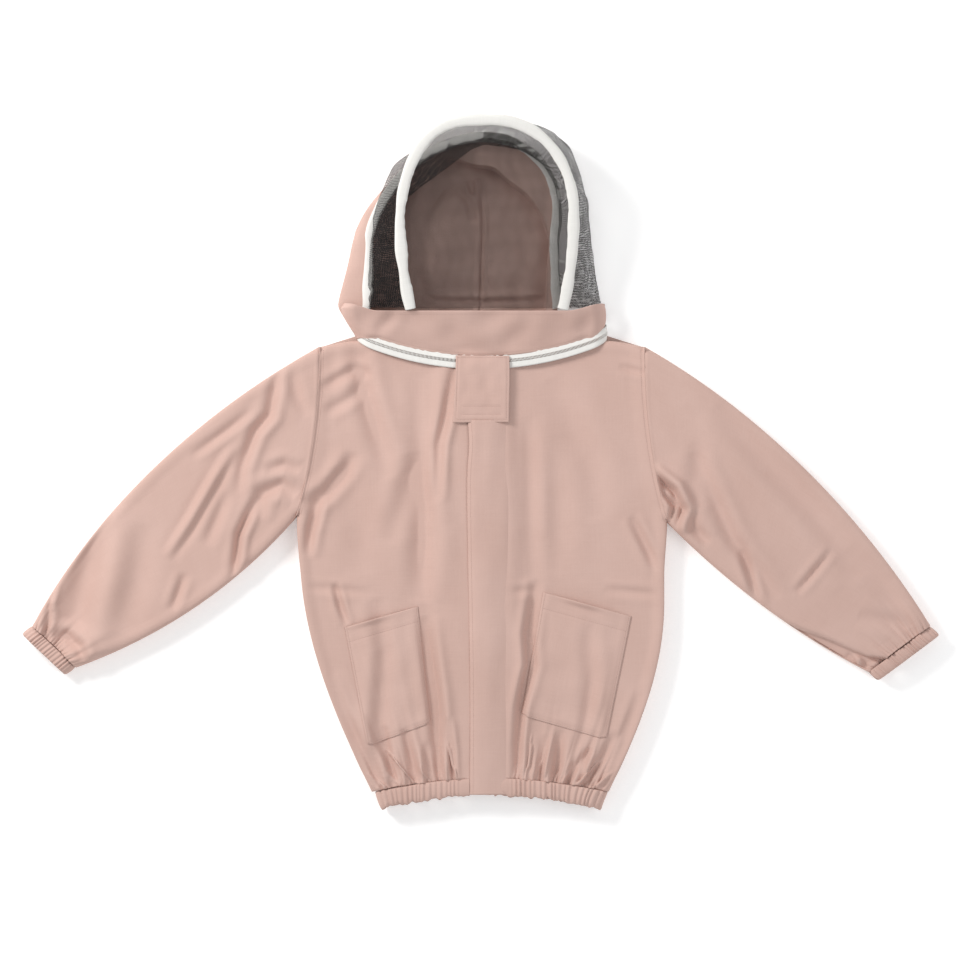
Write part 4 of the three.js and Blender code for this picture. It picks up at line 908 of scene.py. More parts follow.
def cuff_piece(side, name):
    """The casing round the wrist, with its elastic inside."""
    tops = bezier(SLEEVE_TOP[side], np.array([CUFF_AT["top"], 1.0]))
    unders = bezier(SLEEVE_UNDER[side], np.array([CUFF_AT["under"], 1.0]))
    centre = (tops[0] + unders[0]) / 2
    across = unders[0] - tops[0]
    width = np.linalg.norm(across)
    across /= width
    way = (tops[1] + unders[1]) / 2 - centre
    length = np.linalg.norm(way)
    way /= length
    angle = np.linspace(0, 2 * math.pi, 720, endpoint=False)
    raw = np.stack([(width / 2 - 0.001) * np.sign(np.cos(angle)) * np.abs(np.cos(angle)) ** 0.75,
                    0.0155 * np.sign(np.sin(angle)) * np.abs(np.sin(angle)) ** 0.62], -1)
    step = np.concatenate([[0], np.cumsum(np.linalg.norm(np.diff(np.vstack([raw, raw[:1]]), axis=0),
                                                         axis=1))])
    made = {}
    for kind, pitch in (("casing", 0.0010), ("elastic", 0.004)):
        at = np.linspace(0, step[-1], int(step[-1] / pitch), endpoint=False)
        closed_raw = np.vstack([raw, raw[:1]])
        a = np.interp(at, step, closed_raw[:, 0])
        z = np.interp(at, step, closed_raw[:, 1])
        ring = np.stack([a, z], -1)
        tangent = np.roll(ring, -1, 0) - np.roll(ring, 1, 0)
        tangent /= np.linalg.norm(tangent, axis=1)[:, None]
        normal = np.stack([tangent[:, 1], -tangent[:, 0]], -1)
        if np.sum(normal * ring) < 0:
            normal = -normal
        pts = np.stack([centre[0] + across[0] * a, centre[1] + across[1] * a, 0.0178 + z], -1)
        pts += np.array([way[0], way[1], 0]) * length
        out = np.stack([across[0] * normal[:, 0], across[1] * normal[:, 0], normal[:, 1]], -1)
        back = -np.array([way[0], way[1], 0]) * length / 0.028
        if kind == "casing":
            ridge = (pleats(a * 1.0 + 0.3 * np.sign(z) * 0.01, 0.0062, 63 + side) - 0.35) * 0.0034
            relief = ridge[:, None] * np.array(BAND_RELIEF)[None, :]
            obj = ring_band(f"cuff_{name}_casing_cloth", pts, out, back, BAND, relief, COTTON, 1.6,
                            closed=True)
            co = np.array([v.co for v in obj.data.vertices])
            co[:, 2] = np.maximum(co[:, 2], 0.0003)
            obj.data.vertices.foreach_set("co", co.astype(np.float32).ravel())
            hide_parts(f"cuff_casing_{name}")
        else:
            obj = ring_band(f"cuff_{name}_elastic_band", pts, out, back, flat_section,
                            np.zeros((len(pts), 4)),
                            ELASTIC, closed=True)
            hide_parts(f"cuff_elastic_{name}")
        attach(obj, f"sleeve_{name}")
        made[kind] = obj
    return made


sleeves = {}
for name, side in (("right", -1), ("left", 1)):
    obj, tube = sleeve_piece(side, name)
    sleeves[name] = obj
    cuff_piece(side, name)
    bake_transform(obj)

# ---------------------------------------------------------------- laid on the fronts


def tree_of(*objects):
    """One search tree over the shown faces of some pieces."""
    points, faces, start = [], [], 0
    for obj in objects:
        points += [v.co.copy() for v in obj.data.vertices]
        faces += [[start + i for i in p.vertices] for p in obj.data.polygons]
        start = len(points)
    return BVHTree.FromPolygons(points, faces)


def drop(tree, x, y, missing=TOP):
    """Height of the cloth under each point of a plan."""
    z = np.full(np.shape(x), missing)
    for at in np.ndindex(z.shape):
        hit = tree.ray_cast(Vector((float(x[at]), float(y[at]), 0.3)), Vector((0, 0, -1)))
        if hit[0] is not None:
            z[at] = hit[0].z
    return z


front_tree = tree_of(*front_panels.values())

POCKETS = {
    "right": [(-0.226, -0.267), (-0.1056, -0.2325), (-0.084, -0.424), (-0.188, -0.463)],
    "left": [(0.1007, -0.209), (0.2458, -0.249), (0.2046, -0.452), (0.0644, -0.412)],
}


def pocket_piece(name):
    rows, cols = 84, 56
    t = np.linspace(0, 1, rows)[:, None] * np.ones((1, cols))
    s = np.ones((rows, 1)) * np.linspace(0, 1, cols)[None, :]
    tl, tr, br, bl = (np.array(p) for p in POCKETS[name])
    plan = ((1 - s) * (1 - t))[..., None] * tl + (s * (1 - t))[..., None] * tr + (s * t)[...,
                                                            None] * br + ((1 - s) * t)[..., None] * bl
    x, y = plan[..., 0], plan[..., 1]
    rim = np.minimum(np.minimum(s, 1 - s) * 0.13, (1 - t) * 0.19)
    corner = (1 - smooth(0, 0.012, np.minimum(s, 1 - s) * 0.13)) * (1 - smooth(0, 0.012, (1 - t) * 0.19))
    y = y + 0.004 * corner
    base = drop(front_tree, x, y)
    z = base + 0.0012
    z += 0.0012 * smooth(0.002, 0.010, rim)
    z += 0.0022 * np.sin(math.pi * s) * (1 - t) ** 2
    mouth = (1 - smooth(0.0, 0.05, t))
    gape = np.exp(-(((s - 0.45) / 0.22) ** 2)) if name == "left" else np.exp(-(((s - 0.35) / 0.25) ** 2))
    z += (0.0065 if name == "left" else 0.0040) * mouth * gape
    z += 0.0004 * ripples(x, y, 0.045, 101, (1.0, 1.5)) * smooth(0.004, 0.02, rim)
    z -= 0.0006 * np.exp(-(((t - 0.125) * 0.19 / 0.0012) ** 2))
    z -= 0.0007 * np.exp(-(((rim - 0.0032) / 0.0011) ** 2)) * (rim < 0.02)
    z = np.maximum(z, base + 0.0013)
    grid = np.stack([x, y, z], -1)
    uv = np.stack([s * 0.148 + 0.4, (1 - t) * 0.205 + 0.3], -1)
    obj = sheet_piece(f"pocket_{name}_cloth", grid, uv, COTTON, thick=0.0009, flip=True)
    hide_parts(f"pocket_{name}")
    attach(obj, "torso")
    return obj, plan


pockets = {name: pocket_piece(name) for name in ("right", "left")}


def placket_piece():
    """The strip over the front zip: sewn on one side, its free edge lying a little proud."""
    foot, head = HEM_Y + HEM_RISE + 0.001, 0.0741
    rows = 240
    y = np.linspace(foot, head, rows)
    across = np.array([-22, -21, -19, -15, -10, -4, 3, 9, 14, 20, 26, 32, 38, 43, 47]) / 1000
    arch = np.array([0.4, 0.9, 1.7, 3.2, 4.4, 4.7, 4.8, 4.6, 4.0, 2.9, 1.6, 0.3, -1.0, -2.4, -4.0]) / 1000
    x = across[None, :] * np.ones((rows, 1))
    shift = 0.0026 * np.sin((y - foot) / 0.64 * math.pi * 1.5
                            + 0.7) + 0.0035 * np.exp(-(((y - 0.035) / 0.035) ** 2))
    x = x + shift[:, None] * smooth(0.01, -0.02, across)[None, :]
    y2 = y[:, None] * np.ones((1, len(across)))
    low_edge = smooth(foot, foot + 0.05, y)[:, None]
    z = TOP + 0.0013 + arch[None, :] * (0.72 + 0.28 * low_edge)
    z = z + 0.0011 * smooth(0.02, 0.055, y2) * smooth(-0.021, -0.014, x) * smooth(0.040, 0.024, x)
    z = z + 0.0004 * ripples(x, y2, 0.05, 111, (1.0, 3.0))
    lift = np.exp(-(((y - 0.035) / 0.05) ** 2))[:, None] * smooth(0.0, -0.02, across)[None, :]
    z = z + 0.002 * lift
    grid = np.stack([x, y2, z], -1)
    uv = np.stack([x + 1.0, y2 + 0.6], -1)
    obj = sheet_piece("placket_cloth", grid, uv, COTTON, thick=0.0014)
    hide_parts("placket")
    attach(obj, "placket")
    return obj


placket = placket_piece()


def flap_piece():
    rows, cols = 66, 60
    t = np.linspace(0, 1, rows)[:, None] * np.ones((1, cols))
    s = np.ones((rows, 1)) * np.linspace(-1, 1, cols)[None, :]
    x = s * (0.0440 + 0.0022 * t) + 0.0010 - 0.0022 * t + 0.0006 * np.sin(t * 5)
    top_y = 0.1800 - 0.0005 * s
    y = top_y + (0.0700 + 0.0004 * s - top_y) * t
    high = TOP + 0.0064
    rim = np.minimum((1 - np.abs(s)) * 0.0445, (1 - t) * 0.107)
    z = high + 0.0002 - 0.0012 * (1 - smooth(0, 0.006, rim)) + 0.0005 * ripples(x, y, 0.035,
                                                            121) * smooth(0, 0.02, rim)
    z -= 0.0007 * np.exp(-(((rim - 0.0045) / 0.0012) ** 2))
    z -= 0.0012 * np.exp(-(((t * 0.107) / 0.010) ** 2))
    z -= 0.0006 * np.exp(-((((1 - t) * 0.107 - 0.026) / 0.0012) ** 2)) * (np.abs(s) < 0.72)
    z -= 0.0006 * np.exp(-((((1 - t) * 0.107 - 0.013) / 0.0012) ** 2)) * (np.abs(s) < 0.72)
    grid = np.stack([x, y, z], -1)
    uv = np.stack([x + 2.0, y + 0.4], -1)
    obj = sheet_piece("neck_flap_cloth", grid, uv, COTTON, thick=0.0018, flip=True)
    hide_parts("neck_flap")
    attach(obj, "neck_flap")
    return obj


flap = flap_piece()

# ---------------------------------------------------------------- chin band and the neck zip


def band_piece():
    """The band under the veil: from the neck zip up to the fold, and turned over it."""
    across = np.linspace(-1, 1, 150)
    across = np.sign(across) * (1 - (1 - np.abs(across)) ** 1.25)
    rows_t = np.concatenate([np.linspace(0, 1, 34), [1.02, 1.03]])
    t = rows_t[:, None] * np.ones((1, 150))
    s = np.ones((len(rows_t), 1)) * across[None, :]
    tc = np.clip(t, 0, 1)
    left = -0.2065 - 0.0275 * np.sin(tc * math.pi / 2) ** 1.3 + 0.006 * smooth(0.85, 1.0, tc)
    right = 0.1970 + 0.0085 * np.sin(tc * math.pi * 0.75) - 0.0015 * tc
    x = left + (right - left) * (s + 1) / 2
    low = neck_curve(np.clip(x, -0.2, 0.2)) + 0.0088 - 0.0088 * smooth(0.166, 0.196,
                                                            np.abs(x)) - 0.003 * smooth(-0.19, -0.21, x)
    high = FOLD_Y - 0.0075 + 0.013 * smooth(-0.17, -0.225, x) + 0.012 * smooth(0.14, 0.20, x)
    y = low + (high - low) * tc
    edge = (1 - np.abs(s)) * 0.21
    up = np.sqrt(1 - (1 - np.clip(edge / 0.024, 0, 1)) ** 2)
    top = TOP + 0.0006 + 0.0245 * tc**1.1
    z = 0.019 + (top - 0.019) * up
    z += 0.0012 * ripples(x, y, 0.06, 131, (1.4, 1.0)) * smooth(0, 0.2, tc) * smooth(0, 0.03, edge)
    for path, width, depth, skew in (
        ([(-0.175, 0.215), (-0.150, 0.240), (-0.142, 0.262)], 0.010, 0.003, 0.2),
        ([(0.03, 0.195), (0.07, 0.225), (0.085, 0.26)], 0.014, 0.0022, 0.0),
        ([(-0.05, 0.20), (-0.045, 0.25)], 0.016, 0.0014, 0.0),
        ([(0.16, 0.215), (0.178, 0.25)], 0.012, 0.002, 0.0),
    ):
        z += crease(x, y, path, width, depth, skew) * smooth(0, 0.02, edge)
    over = t > 1.0
    y = np.where(over, y - 0.0015 - (t - 1.02) * 0.15, y)
    z = np.where(over, z - 0.004 - (t - 1.02) * 0.45, z)
    grid = np.stack([x, y, np.maximum(z, 0.016)], -1)
    uv = np.stack([x + 3.0, tc * 0.09 + 0.2], -1)
    obj = sheet_piece("chin_band_cloth", grid, uv, COTTON, thick=0.0013)
    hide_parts("chin_band")
    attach(obj, "torso")
    return obj


chin_band = band_piece()


def neck_path(start, pitch):
    """Round the neck from beside the middle of the front, over the side and across the back."""
    half, reach, back_y = 0.205, 0.024, 0.2239
    front_x = np.linspace(start, half - reach, 60)
    points = [np.stack([front_x, neck_curve(front_x), np.full(60, TOP)], -1)]
    turn = np.linspace(0, math.pi, 26)[1:-1]
    x = half - reach + reach * np.sin(turn)
    z = 0.018 + 0.018 * np.cos(turn)
    share = z / TOP
    points.append(np.stack([x, back_y + (neck_curve(x) - back_y) * share, z], -1))
    points.append(np.stack([np.linspace(half - reach, 0, 40), np.full(40, back_y), np.zeros(40)], -1))
    line = np.concatenate(points)
    other = line[:-1][::-1] * [-1, 1, 1]
    line = np.concatenate([line, other])
    step = np.concatenate([[0], np.cumsum(np.linalg.norm(np.diff(line, axis=0), axis=1))])
    at = np.linspace(0, step[-1], int(step[-1] / pitch))
    line = np.stack([np.interp(at, step, line[:, k]) for k in range(3)], -1)
    tangent = np.gradient(line, axis=0)
    out = np.cross(tangent, [0.0, 1.0, 0.0])
    out /= np.linalg.norm(out, axis=1)[:, None]
    if out[3, 2] < 0:
        out = -out
    return line, out


def neck_tape(name, sign):
    line, out = neck_path(0.005, 0.004)
    wide = np.array([0.0024, 0.0032, 0.0065, 0.0098, 0.0120]) * sign
    drop_by = np.array([0.0004, 0.0003, 0.0001, -0.0001, -0.0006])
    grid = line[:, None] + out[:, None] * drop_by[None, :, None] + np.array([0, 1.0, 0]) * wide[None, :, None]
    grid = grid + np.array([0, 0, 1.0]) * (0.0002 * ripples(line[:, 0] * 9, line[:, 2], 0.05, 141))[:, None,
                                                            None]
    uv = np.stack(np.broadcast_arrays(np.arange(len(line))[:, None] * 0.004, wide[None, :]), -1)
    grid[..., 2] = np.maximum(grid[..., 2], 0.0008)
    obj = sheet_piece(name, grid, uv, TAPE, thick=0.0009, flip=sign < 0)
    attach(obj, "torso")
    return obj


for name, sign in (("lower", -1), ("upper", 1)):
    tape = neck_tape(f"neck_zip_tape_{name}_cloth", sign)
    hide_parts(f"neck_zip_tape_{name}")

# ---------------------------------------------------------------- what repeats, by geometry nodes


def input_of(group, name):
    return next(i.identifier for i in group.interface.items_tree if i.item_type == "SOCKET" and i.name == name)


def repeat_tree(name):
    """A tree that lays one small shape along a line, at a pitch, and turns it to the line."""
    group = bpy.data.node_groups.new(name, "GeometryNodeTree")
    face = group.interface
    face.new_socket("Geometry", in_out="INPUT", socket_type="NodeSocketGeometry")
    for label, value in (("Pitch", 0.003), ("Length", 0.002), ("Width", 0.0006), ("Height", 0.0004)):
        face.new_socket(label, in_out="INPUT", socket_type="NodeSocketFloat").default_value = value
    face.new_socket("Geometry", in_out="OUTPUT", socket_type="NodeSocketGeometry")
    start = node(group, "NodeGroupInput")
    end = node(group, "NodeGroupOutput")
    curve = node(group, "GeometryNodeMeshToCurve", {"Mesh": start.outputs["Geometry"]})
    spaced = node(group, "GeometryNodeResampleCurve",
                  {"Curve": curve.outputs[0], "Length": start.outputs["Pitch"]},
                  mode="LENGTH")
    tangent = node(group, "GeometryNodeInputTangent")
    turned = node(group, "FunctionNodeAlignEulerToVector", {"Vector": tangent.outputs[0]}, axis="X")
    return group, start, end, spaced, turned


def bead_tree(name, finish):
    """Small beads along a line, in one finish."""
    group, start, end, spaced, turned = repeat_tree(name)
    bead = node(group, "GeometryNodeMeshUVSphere", {"Segments": 6, "Rings": 4, "Radius": 0.5})
    size = node(group, "ShaderNodeCombineXYZ",
                {0: start.outputs["Length"], 1: start.outputs["Width"], 2: start.outputs["Height"]})
    placed = node(group, "GeometryNodeInstanceOnPoints",
                  {"Points": spaced.outputs[0], "Instance": bead.outputs["Mesh"],
                   "Rotation": turned.outputs[0],
                   "Scale": size.outputs[0]})
    real = node(group, "GeometryNodeRealizeInstances", {"Geometry": placed.outputs[0]})
    finished = node(group, "GeometryNodeSetMaterial", {"Geometry": real.outputs[0]})
    finished.inputs["Material"].default_value = finish
    group.links.new(finished.outputs[0], end.inputs[0])
    return group


def line_object(name, lines):
    """Loose edges along each line of points."""
    points, edges, start = [], [], 0
    for line in lines:
        points += [tuple(map(float, p)) for p in line]
        edges += [(start + i, start + i + 1) for i in range(len(line) - 1)]
        start = len(points)
    mesh = bpy.data.meshes.new(name)
    mesh.from_pydata(points, edges, [])
    return collection_add(bpy.data.objects.new(name, mesh))


def repeated(name, lines, group, **sizes):
    """Runs a tree along some lines and keeps the plain mesh that it makes."""
    obj = line_object(name, lines)
    modifier = obj.modifiers.new("repeat", "NODES")
    modifier.node_group = group
    for label, value in sizes.items():
        modifier[input_of(group, label)] = value
    shaped(obj)
    obj.data.polygons.foreach_set("use_smooth", np.ones(len(obj.data.polygons), bool))
    return obj


STITCH = bead_tree("stitch line", THREAD)
TOOTH = bead_tree("zip tooth row", TEETH)


def on_cloth(tree, x, y, lift=0.0002):
    x, y = np.asarray(x, float), np.asarray(y, float)
    return np.stack([x, y, drop(tree, x, y) + lift], -1)


def polyline(points, step=0.002):
    points = np.array(points, float)
    run = np.concatenate([[0], np.cumsum(np.hypot(*np.diff(points, axis=0).T))])
    at = np.arange(0, run[-1], step)
    return np.interp(at, run, points[:, 0]), np.interp(at, run, points[:, 1])


torso_lines = []
for name, (obj, plan) in pockets.items():
    tree = tree_of(obj)
    tl, tr, br, bl = (np.array(p) for p in POCKETS[name])
    inward = lambda a, b, k: a + (b - a) * k
    left_in = [inward(tl, tr, 0.026), inward(bl, br, 0.03)]
    right_in = [inward(tr, tl, 0.026), inward(br, bl, 0.03)]
    lifted = 0.017
    loop = [left_in[0], inward(left_in[1], left_in[0], lifted), inward(right_in[1], right_in[0], lifted),
            right_in[0]]
    torso_lines.append(on_cloth(tree, *polyline(loop)))
    mouth = [inward(tl, bl, 0.125) + (tr - tl) * 0.02, inward(tr, br, 0.125) - (tr - tl) * 0.02]
    torso_lines.append(on_cloth(tree, *polyline(mouth)))
tree = tree_of(*front_panels.values())
for side in (-1, 1):
    ys = np.linspace(ARMPIT_Y[side] + 0.004, SHOULDER_Y - 0.006, 140)
    torso_lines.append(on_cloth(tree, side * (side_half(side, ys) - 0.006), ys))
xs = np.linspace(-0.195, 0.195, 190)
torso_lines.append(on_cloth(tree, xs, front_top(xs) - 0.004))
for low, high in ((-0.160, -0.026), (0.038, 0.186)):
    xs = np.linspace(low, high, 100)
    torso_lines.append(on_cloth(tree, xs, hem_low(xs) + CASING + 0.0015))
tree = tree_of(chin_band)
xs = np.linspace(-0.19, 0.185, 190)
low_edge = neck_curve(xs) + 0.0088 - 0.0088 * smooth(0.166, 0.196, np.abs(xs))
torso_lines.append(on_cloth(tree, xs, low_edge + 0.005))
torso_lines.append(on_cloth(tree, np.linspace(-0.16, 0.13, 150), np.full(150, FOLD_Y - 0.0135)))
stitches = repeated("body_stitching", torso_lines, STITCH, Pitch=0.0032, Length=0.0024, Width=0.0006,
                    Height=0.0004)
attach(stitches, "torso")

tree = tree_of(flap)
y_end = 0.0700
flap_lines = [on_cloth(tree, *polyline([(-0.0405, 0.1765), (-0.0430, y_end + 0.0045),
                                        (0.0405, y_end + 0.0045), (0.0410, 0.1760)]))]
for up in (0.013, 0.026):
    flap_lines.append(on_cloth(tree, *polyline([(-0.030, y_end + up), (0.031, y_end + up)])))
flap_lines.append(on_cloth(tree, *polyline([(-0.040, 0.1770), (0.041, 0.1765)])))
flap_stitches = repeated("flap_stitching", flap_lines, STITCH, Pitch=0.0032, Length=0.0024, Width=0.0006,
                         Height=0.0004)
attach(flap_stitches, "neck_flap")

tree = tree_of(placket)
ys = np.linspace(HEM_Y + HEM_RISE + 0.004, 0.072, 320)
placket_lines = [on_cloth(tree, np.full(320, -0.0165)
                          + 0.0026 * np.sin((ys - HEM_Y - HEM_RISE) / 0.64 * math.pi * 1.5 + 0.7)
                          + 0.0035 * np.exp(-(((ys - 0.035) / 0.035) ** 2)), ys)]
placket_stitches = repeated("placket_stitching", placket_lines, STITCH, Pitch=0.0032, Length=0.0024,
                            Width=0.0006, Height=0.0004)
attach(placket_stitches, "placket")

for name, sign in (("lower", -1), ("upper", 1)):
    line, out = neck_path(0.005, 0.001)
    row = line + out * 0.0011 + np.array([0, 1.0, 0]) * (0.0011 * sign)
    teeth = repeated(f"neck_zip_teeth_{name}_row", [row[sign > 0:]], TOOTH, Pitch=0.0022, Length=0.0013,
                     Width=0.0042,
                     Height=0.0016)
    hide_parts(f"neck_zip_teeth_{name}")
    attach(teeth, "torso")

# ---------------------------------------------------------------- hoops

HOOPS = {
    "front": dict(x=0.0078, z=0.062, tilt=14.0, half=0.142, foot=0.125, leg=0.140, height=0.304, lean=0.007,
                  full=(0.93, 0.60), down=0.011),
    "rear": dict(x=-0.033, z=0.038, tilt=2.2, half=0.152, foot=0.157, leg=0.110, height=0.272, lean=0.037,
                 full=(1.0, 1.0), down=0.010),
}
HOOP_FOOT_Y = 0.2669
LEG_SHARE = 0.22


def hoop_line(kind, s, out=0.0, lift=0.0):
    """Points of a hoop: s from 0 at its foot on the wearer's left, over the crown, to 1 at the other foot."""
    hoop = HOOPS[kind]
    s = np.asarray(s, float)

    def flat_point(s):
        near = np.minimum(s, 1 - s)
        side = np.where(s <= 0.5, 1.0, -1.0)
        k = np.clip(near / LEG_SHARE, -1, 1)
        turn = np.clip((near - LEG_SHARE) / (0.5 - LEG_SHARE), 0, 1) * math.pi / 2
        leg = near < LEG_SHARE
        full = np.where(side > 0, hoop["full"][0], hoop["full"][1])
        reach = hoop["half"] * np.clip(np.cos(turn), 0, 1) ** full
        x = side * np.where(leg, hoop["half"] - (hoop["half"] - hoop["foot"]) * (1 - k) ** 2, reach)
        y = np.where(leg, -hoop["down"] + (hoop["leg"] + hoop["down"]) * k,
                     hoop["leg"] + (hoop["height"] - hoop["leg"]) * np.sin(turn))
        return x + hoop["lean"] * np.sin(turn), y

    x, y = flat_point(s)
    ax, ay = flat_point(s - 0.004)
    bx, by = flat_point(s + 0.004)
    tx, ty = bx - ax, by - ay
    size = np.hypot(tx, ty)
    nx, ny = ty / size, -tx / size
    tilt = math.radians(hoop["tilt"])
    px, py = x + nx * out, y + ny * out
    return np.stack([hoop["x"] + px, HOOP_FOOT_Y + py * math.cos(tilt) - lift * math.sin(tilt),
                     hoop["z"] + py * math.sin(tilt) + lift * math.cos(tilt)], -1)


def oval(wide, high, count, square=0.8):
    turn = np.linspace(0, 2 * math.pi, count, endpoint=False)
    shape = lambda v: np.sign(v) * np.abs(v) ** square
    return [(float(wide * shape(math.cos(t))), float(high * shape(math.sin(t)))) for t in turn]


def along_hoop(kind, pitch):
    s = np.linspace(0, 1, 1200)
    line = hoop_line(kind, s)
    run = np.concatenate([[0], np.cumsum(np.linalg.norm(np.diff(line, axis=0), axis=1))])
    count = int(run[-1] / pitch)
    return np.interp(np.linspace(0, run[-1], count), run, s), np.linspace(0, run[-1], count)


def hoop_pieces(kind, wide, high):
    tilt = math.radians(HOOPS[kind]["tilt"])
    up = np.array([0, -math.sin(tilt), math.cos(tilt)])
    s, run = along_hoop(kind, 0.0016)
    line = hoop_line(kind, s)
    out = hoop_line(kind, s, 1.0) - line
    section = oval(wide, high, 20)
    angle = np.linspace(0, 2 * math.pi, 20, endpoint=False)
    pucker = ripples(run, 0 * run, 0.016, 151) * 0.00012
    slow = ripples(run, 0 * run, 0.07, 153) * 0.0006
    relief = pucker[:, None] * (1 - np.cos(angle)[None, :]) + slow[:, None] * np.cos(angle)[None, :]
    seam = np.exp(-(((angle - math.pi * 0.86) / 0.16) ** 2))[None, :] * -0.0006
    band = ring_band(f"{kind}_hoop_binding_tape", line, out, up, section, relief + seam, TAPE)
    s, run = along_hoop(kind, 0.005)
    line = hoop_line(kind, s)
    wire = ring_band(f"{kind}_hoop_spring_wire", line, hoop_line(kind, s, 1.0) - line, up,
                     oval(0.0028, 0.0028, 10, 1.0),
                     np.zeros((len(s), 10)), WIRE)
    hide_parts(f"{kind}_hoop_binding")
    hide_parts(f"{kind}_hoop_wire")
    body = "front_hoop" if kind == "front" else "hood"
    for obj, name in ((band, "binding"), (wire, "hoop_wire")):
        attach(obj, body)
    return band, wire


front_binding, front_wire = hoop_pieces("front", 0.0090, 0.0052)
rear_binding, rear_wire = hoop_pieces("rear", 0.0080, 0.0048)

# ---------------------------------------------------------------- nets


def net_tree():
    """Opens a hole in every face of a sheet, leaving its threads."""
    group = bpy.data.node_groups.new("open mesh", "GeometryNodeTree")
    face = group.interface
    face.new_socket("Geometry", in_out="INPUT", socket_type="NodeSocketGeometry")
    face.new_socket("Hole", in_out="INPUT", socket_type="NodeSocketFloat").default_value = 0.66
    face.new_socket("Geometry", in_out="OUTPUT", socket_type="NodeSocketGeometry")
    start, end = node(group, "NodeGroupInput"), node(group, "NodeGroupOutput")
    cells = node(group, "GeometryNodeExtrudeMesh",
                 {"Mesh": start.outputs["Geometry"], "Offset Scale": 0.0, "Individual": True}, mode="FACES")
    shrunk = node(group, "GeometryNodeScaleElements",
                  {"Geometry": cells.outputs["Mesh"], "Selection": cells.outputs["Top"],
                   "Scale": start.outputs["Hole"]},
                  domain="FACE")
    opened = node(group, "GeometryNodeDeleteGeometry",
                  {"Geometry": shrunk.outputs[0], "Selection": cells.outputs["Top"]}, domain="FACE",
                  mode="ALL")
    real = node(group, "GeometryNodeRealizeInstances", {"Geometry": opened.outputs[0]})
    finished = node(group, "GeometryNodeSetMaterial", {"Geometry": real.outputs[0]})
    finished.inputs["Material"].default_value = NET
    group.links.new(finished.outputs[0], end.inputs[0])
    return group


OPEN_MESH = net_tree()
HOLE = 0.72


def opened(obj):
    """Runs the net's tree on a sheet and keeps the plain mesh."""
    modifier = obj.modifiers.new("net", "NODES")
    modifier.node_group = OPEN_MESH
    modifier[input_of(OPEN_MESH, "Hole")] = HOLE
    shaped(obj)
    obj.data.materials.clear()
    obj.data.materials.append(NET)
    return obj


def face_net_piece():
    """The flat net across the front hoop: square cells cut to the hoop's own line."""
    pitch = 0.00176
    ring = hoop_line("front", np.linspace(0, 1, 400), -0.003)
    tilt = math.radians(HOOPS["front"]["tilt"])
    v_ring = (ring[:, 1] - HOOP_FOOT_Y) / math.cos(tilt)
    x_ring = ring[:, 0]
    low = v_ring.min()
    rows = int((v_ring.max() - low) / pitch)
    points, faces, index = [], [], {}

    def corner(i, j):
        if (i, j) not in index:
            x, v = j * pitch, low + i * pitch
            sag = 0.0022 * math.sin(x * 21 + 0.4) * math.sin(v * 17)
            x += 0.0006 * math.sin(v * 60) + 0.0004 * math.sin(v * 23 + x * 30)
            points.append((x, HOOP_FOOT_Y + v * math.cos(tilt) - sag * math.sin(tilt),
                           HOOPS["front"]["z"] + v * math.sin(tilt) + sag * math.cos(tilt) - 0.001))
            index[(i, j)] = len(points) - 1
        return index[(i, j)]

    half_way = len(v_ring) // 2
    for i in range(rows):
        v = low + (i + 0.5) * pitch
        right = np.interp(v, v_ring[:half_way], x_ring[:half_way])
        left = np.interp(v, v_ring[half_way:][::-1], x_ring[half_way:][::-1])
        for j in range(math.ceil(left / pitch), math.floor(right / pitch)):
            faces.append((corner(i, j), corner(i, j + 1), corner(i + 1, j + 1), corner(i + 1, j)))
    obj = opened(make_mesh("face_net_mesh", np.array(points), faces, material=NET))
    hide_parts("face_net")
    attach(obj, "front_hoop")
    return obj


face_net = face_net_piece()

NET_OUTER = [(0.0, 0.199, 0.259), (0.03, 0.194, 0.275), (0.077, 0.188, 0.305), (0.128, 0.183, 0.338),
             (0.175, 0.180, 0.371), (0.222, 0.176, 0.404), (0.259, 0.172, 0.437), (0.298, 0.164, 0.470),
             (0.331, 0.156, 0.495), (0.368, 0.146, 0.520), (0.43, 0.120, 0.545), (0.47, 0.082, 0.559),
             (0.5, 0.020, 0.562), (0.57, -0.050, 0.550), (0.632, -0.100, 0.524), (0.669, -0.145, 0.494),
             (0.702, -0.157, 0.470), (0.741, -0.170, 0.437), (0.778, -0.181, 0.404), (0.825, -0.183, 0.371),
             (0.872, -0.187, 0.330), (1.0, -0.190, 0.260)]
NET_INNER = [(0.0, 0.150, 0.259), (0.12, 0.146, 0.330), (0.19, 0.136, 0.388), (0.259, 0.125, 0.449),
             (0.31, 0.114, 0.477), (0.345, 0.093, 0.499), (0.40, 0.066, 0.516), (0.45, 0.036, 0.522),
             (0.50, 0.001, 0.5245), (0.56, -0.0165, 0.518), (0.62, -0.0454, 0.495), (0.66, -0.067, 0.479),
             (0.70, -0.0957, 0.459), (0.75, -0.124, 0.437), (0.80, -0.134, 0.400), (0.872, -0.134, 0.330),
             (1.0, -0.117, 0.260)]


def table_line(table, s):
    table = np.array(table)
    return np.stack([np.interp(s, table[:, 0], table[:, k]) for k in (1, 2)], -1)


def blurred_line(line, times):
    line = line.copy()
    for _ in range(times):
        line[1:-1] = (line[:-2] + 2 * line[1:-1] + line[2:]) / 4
    return line


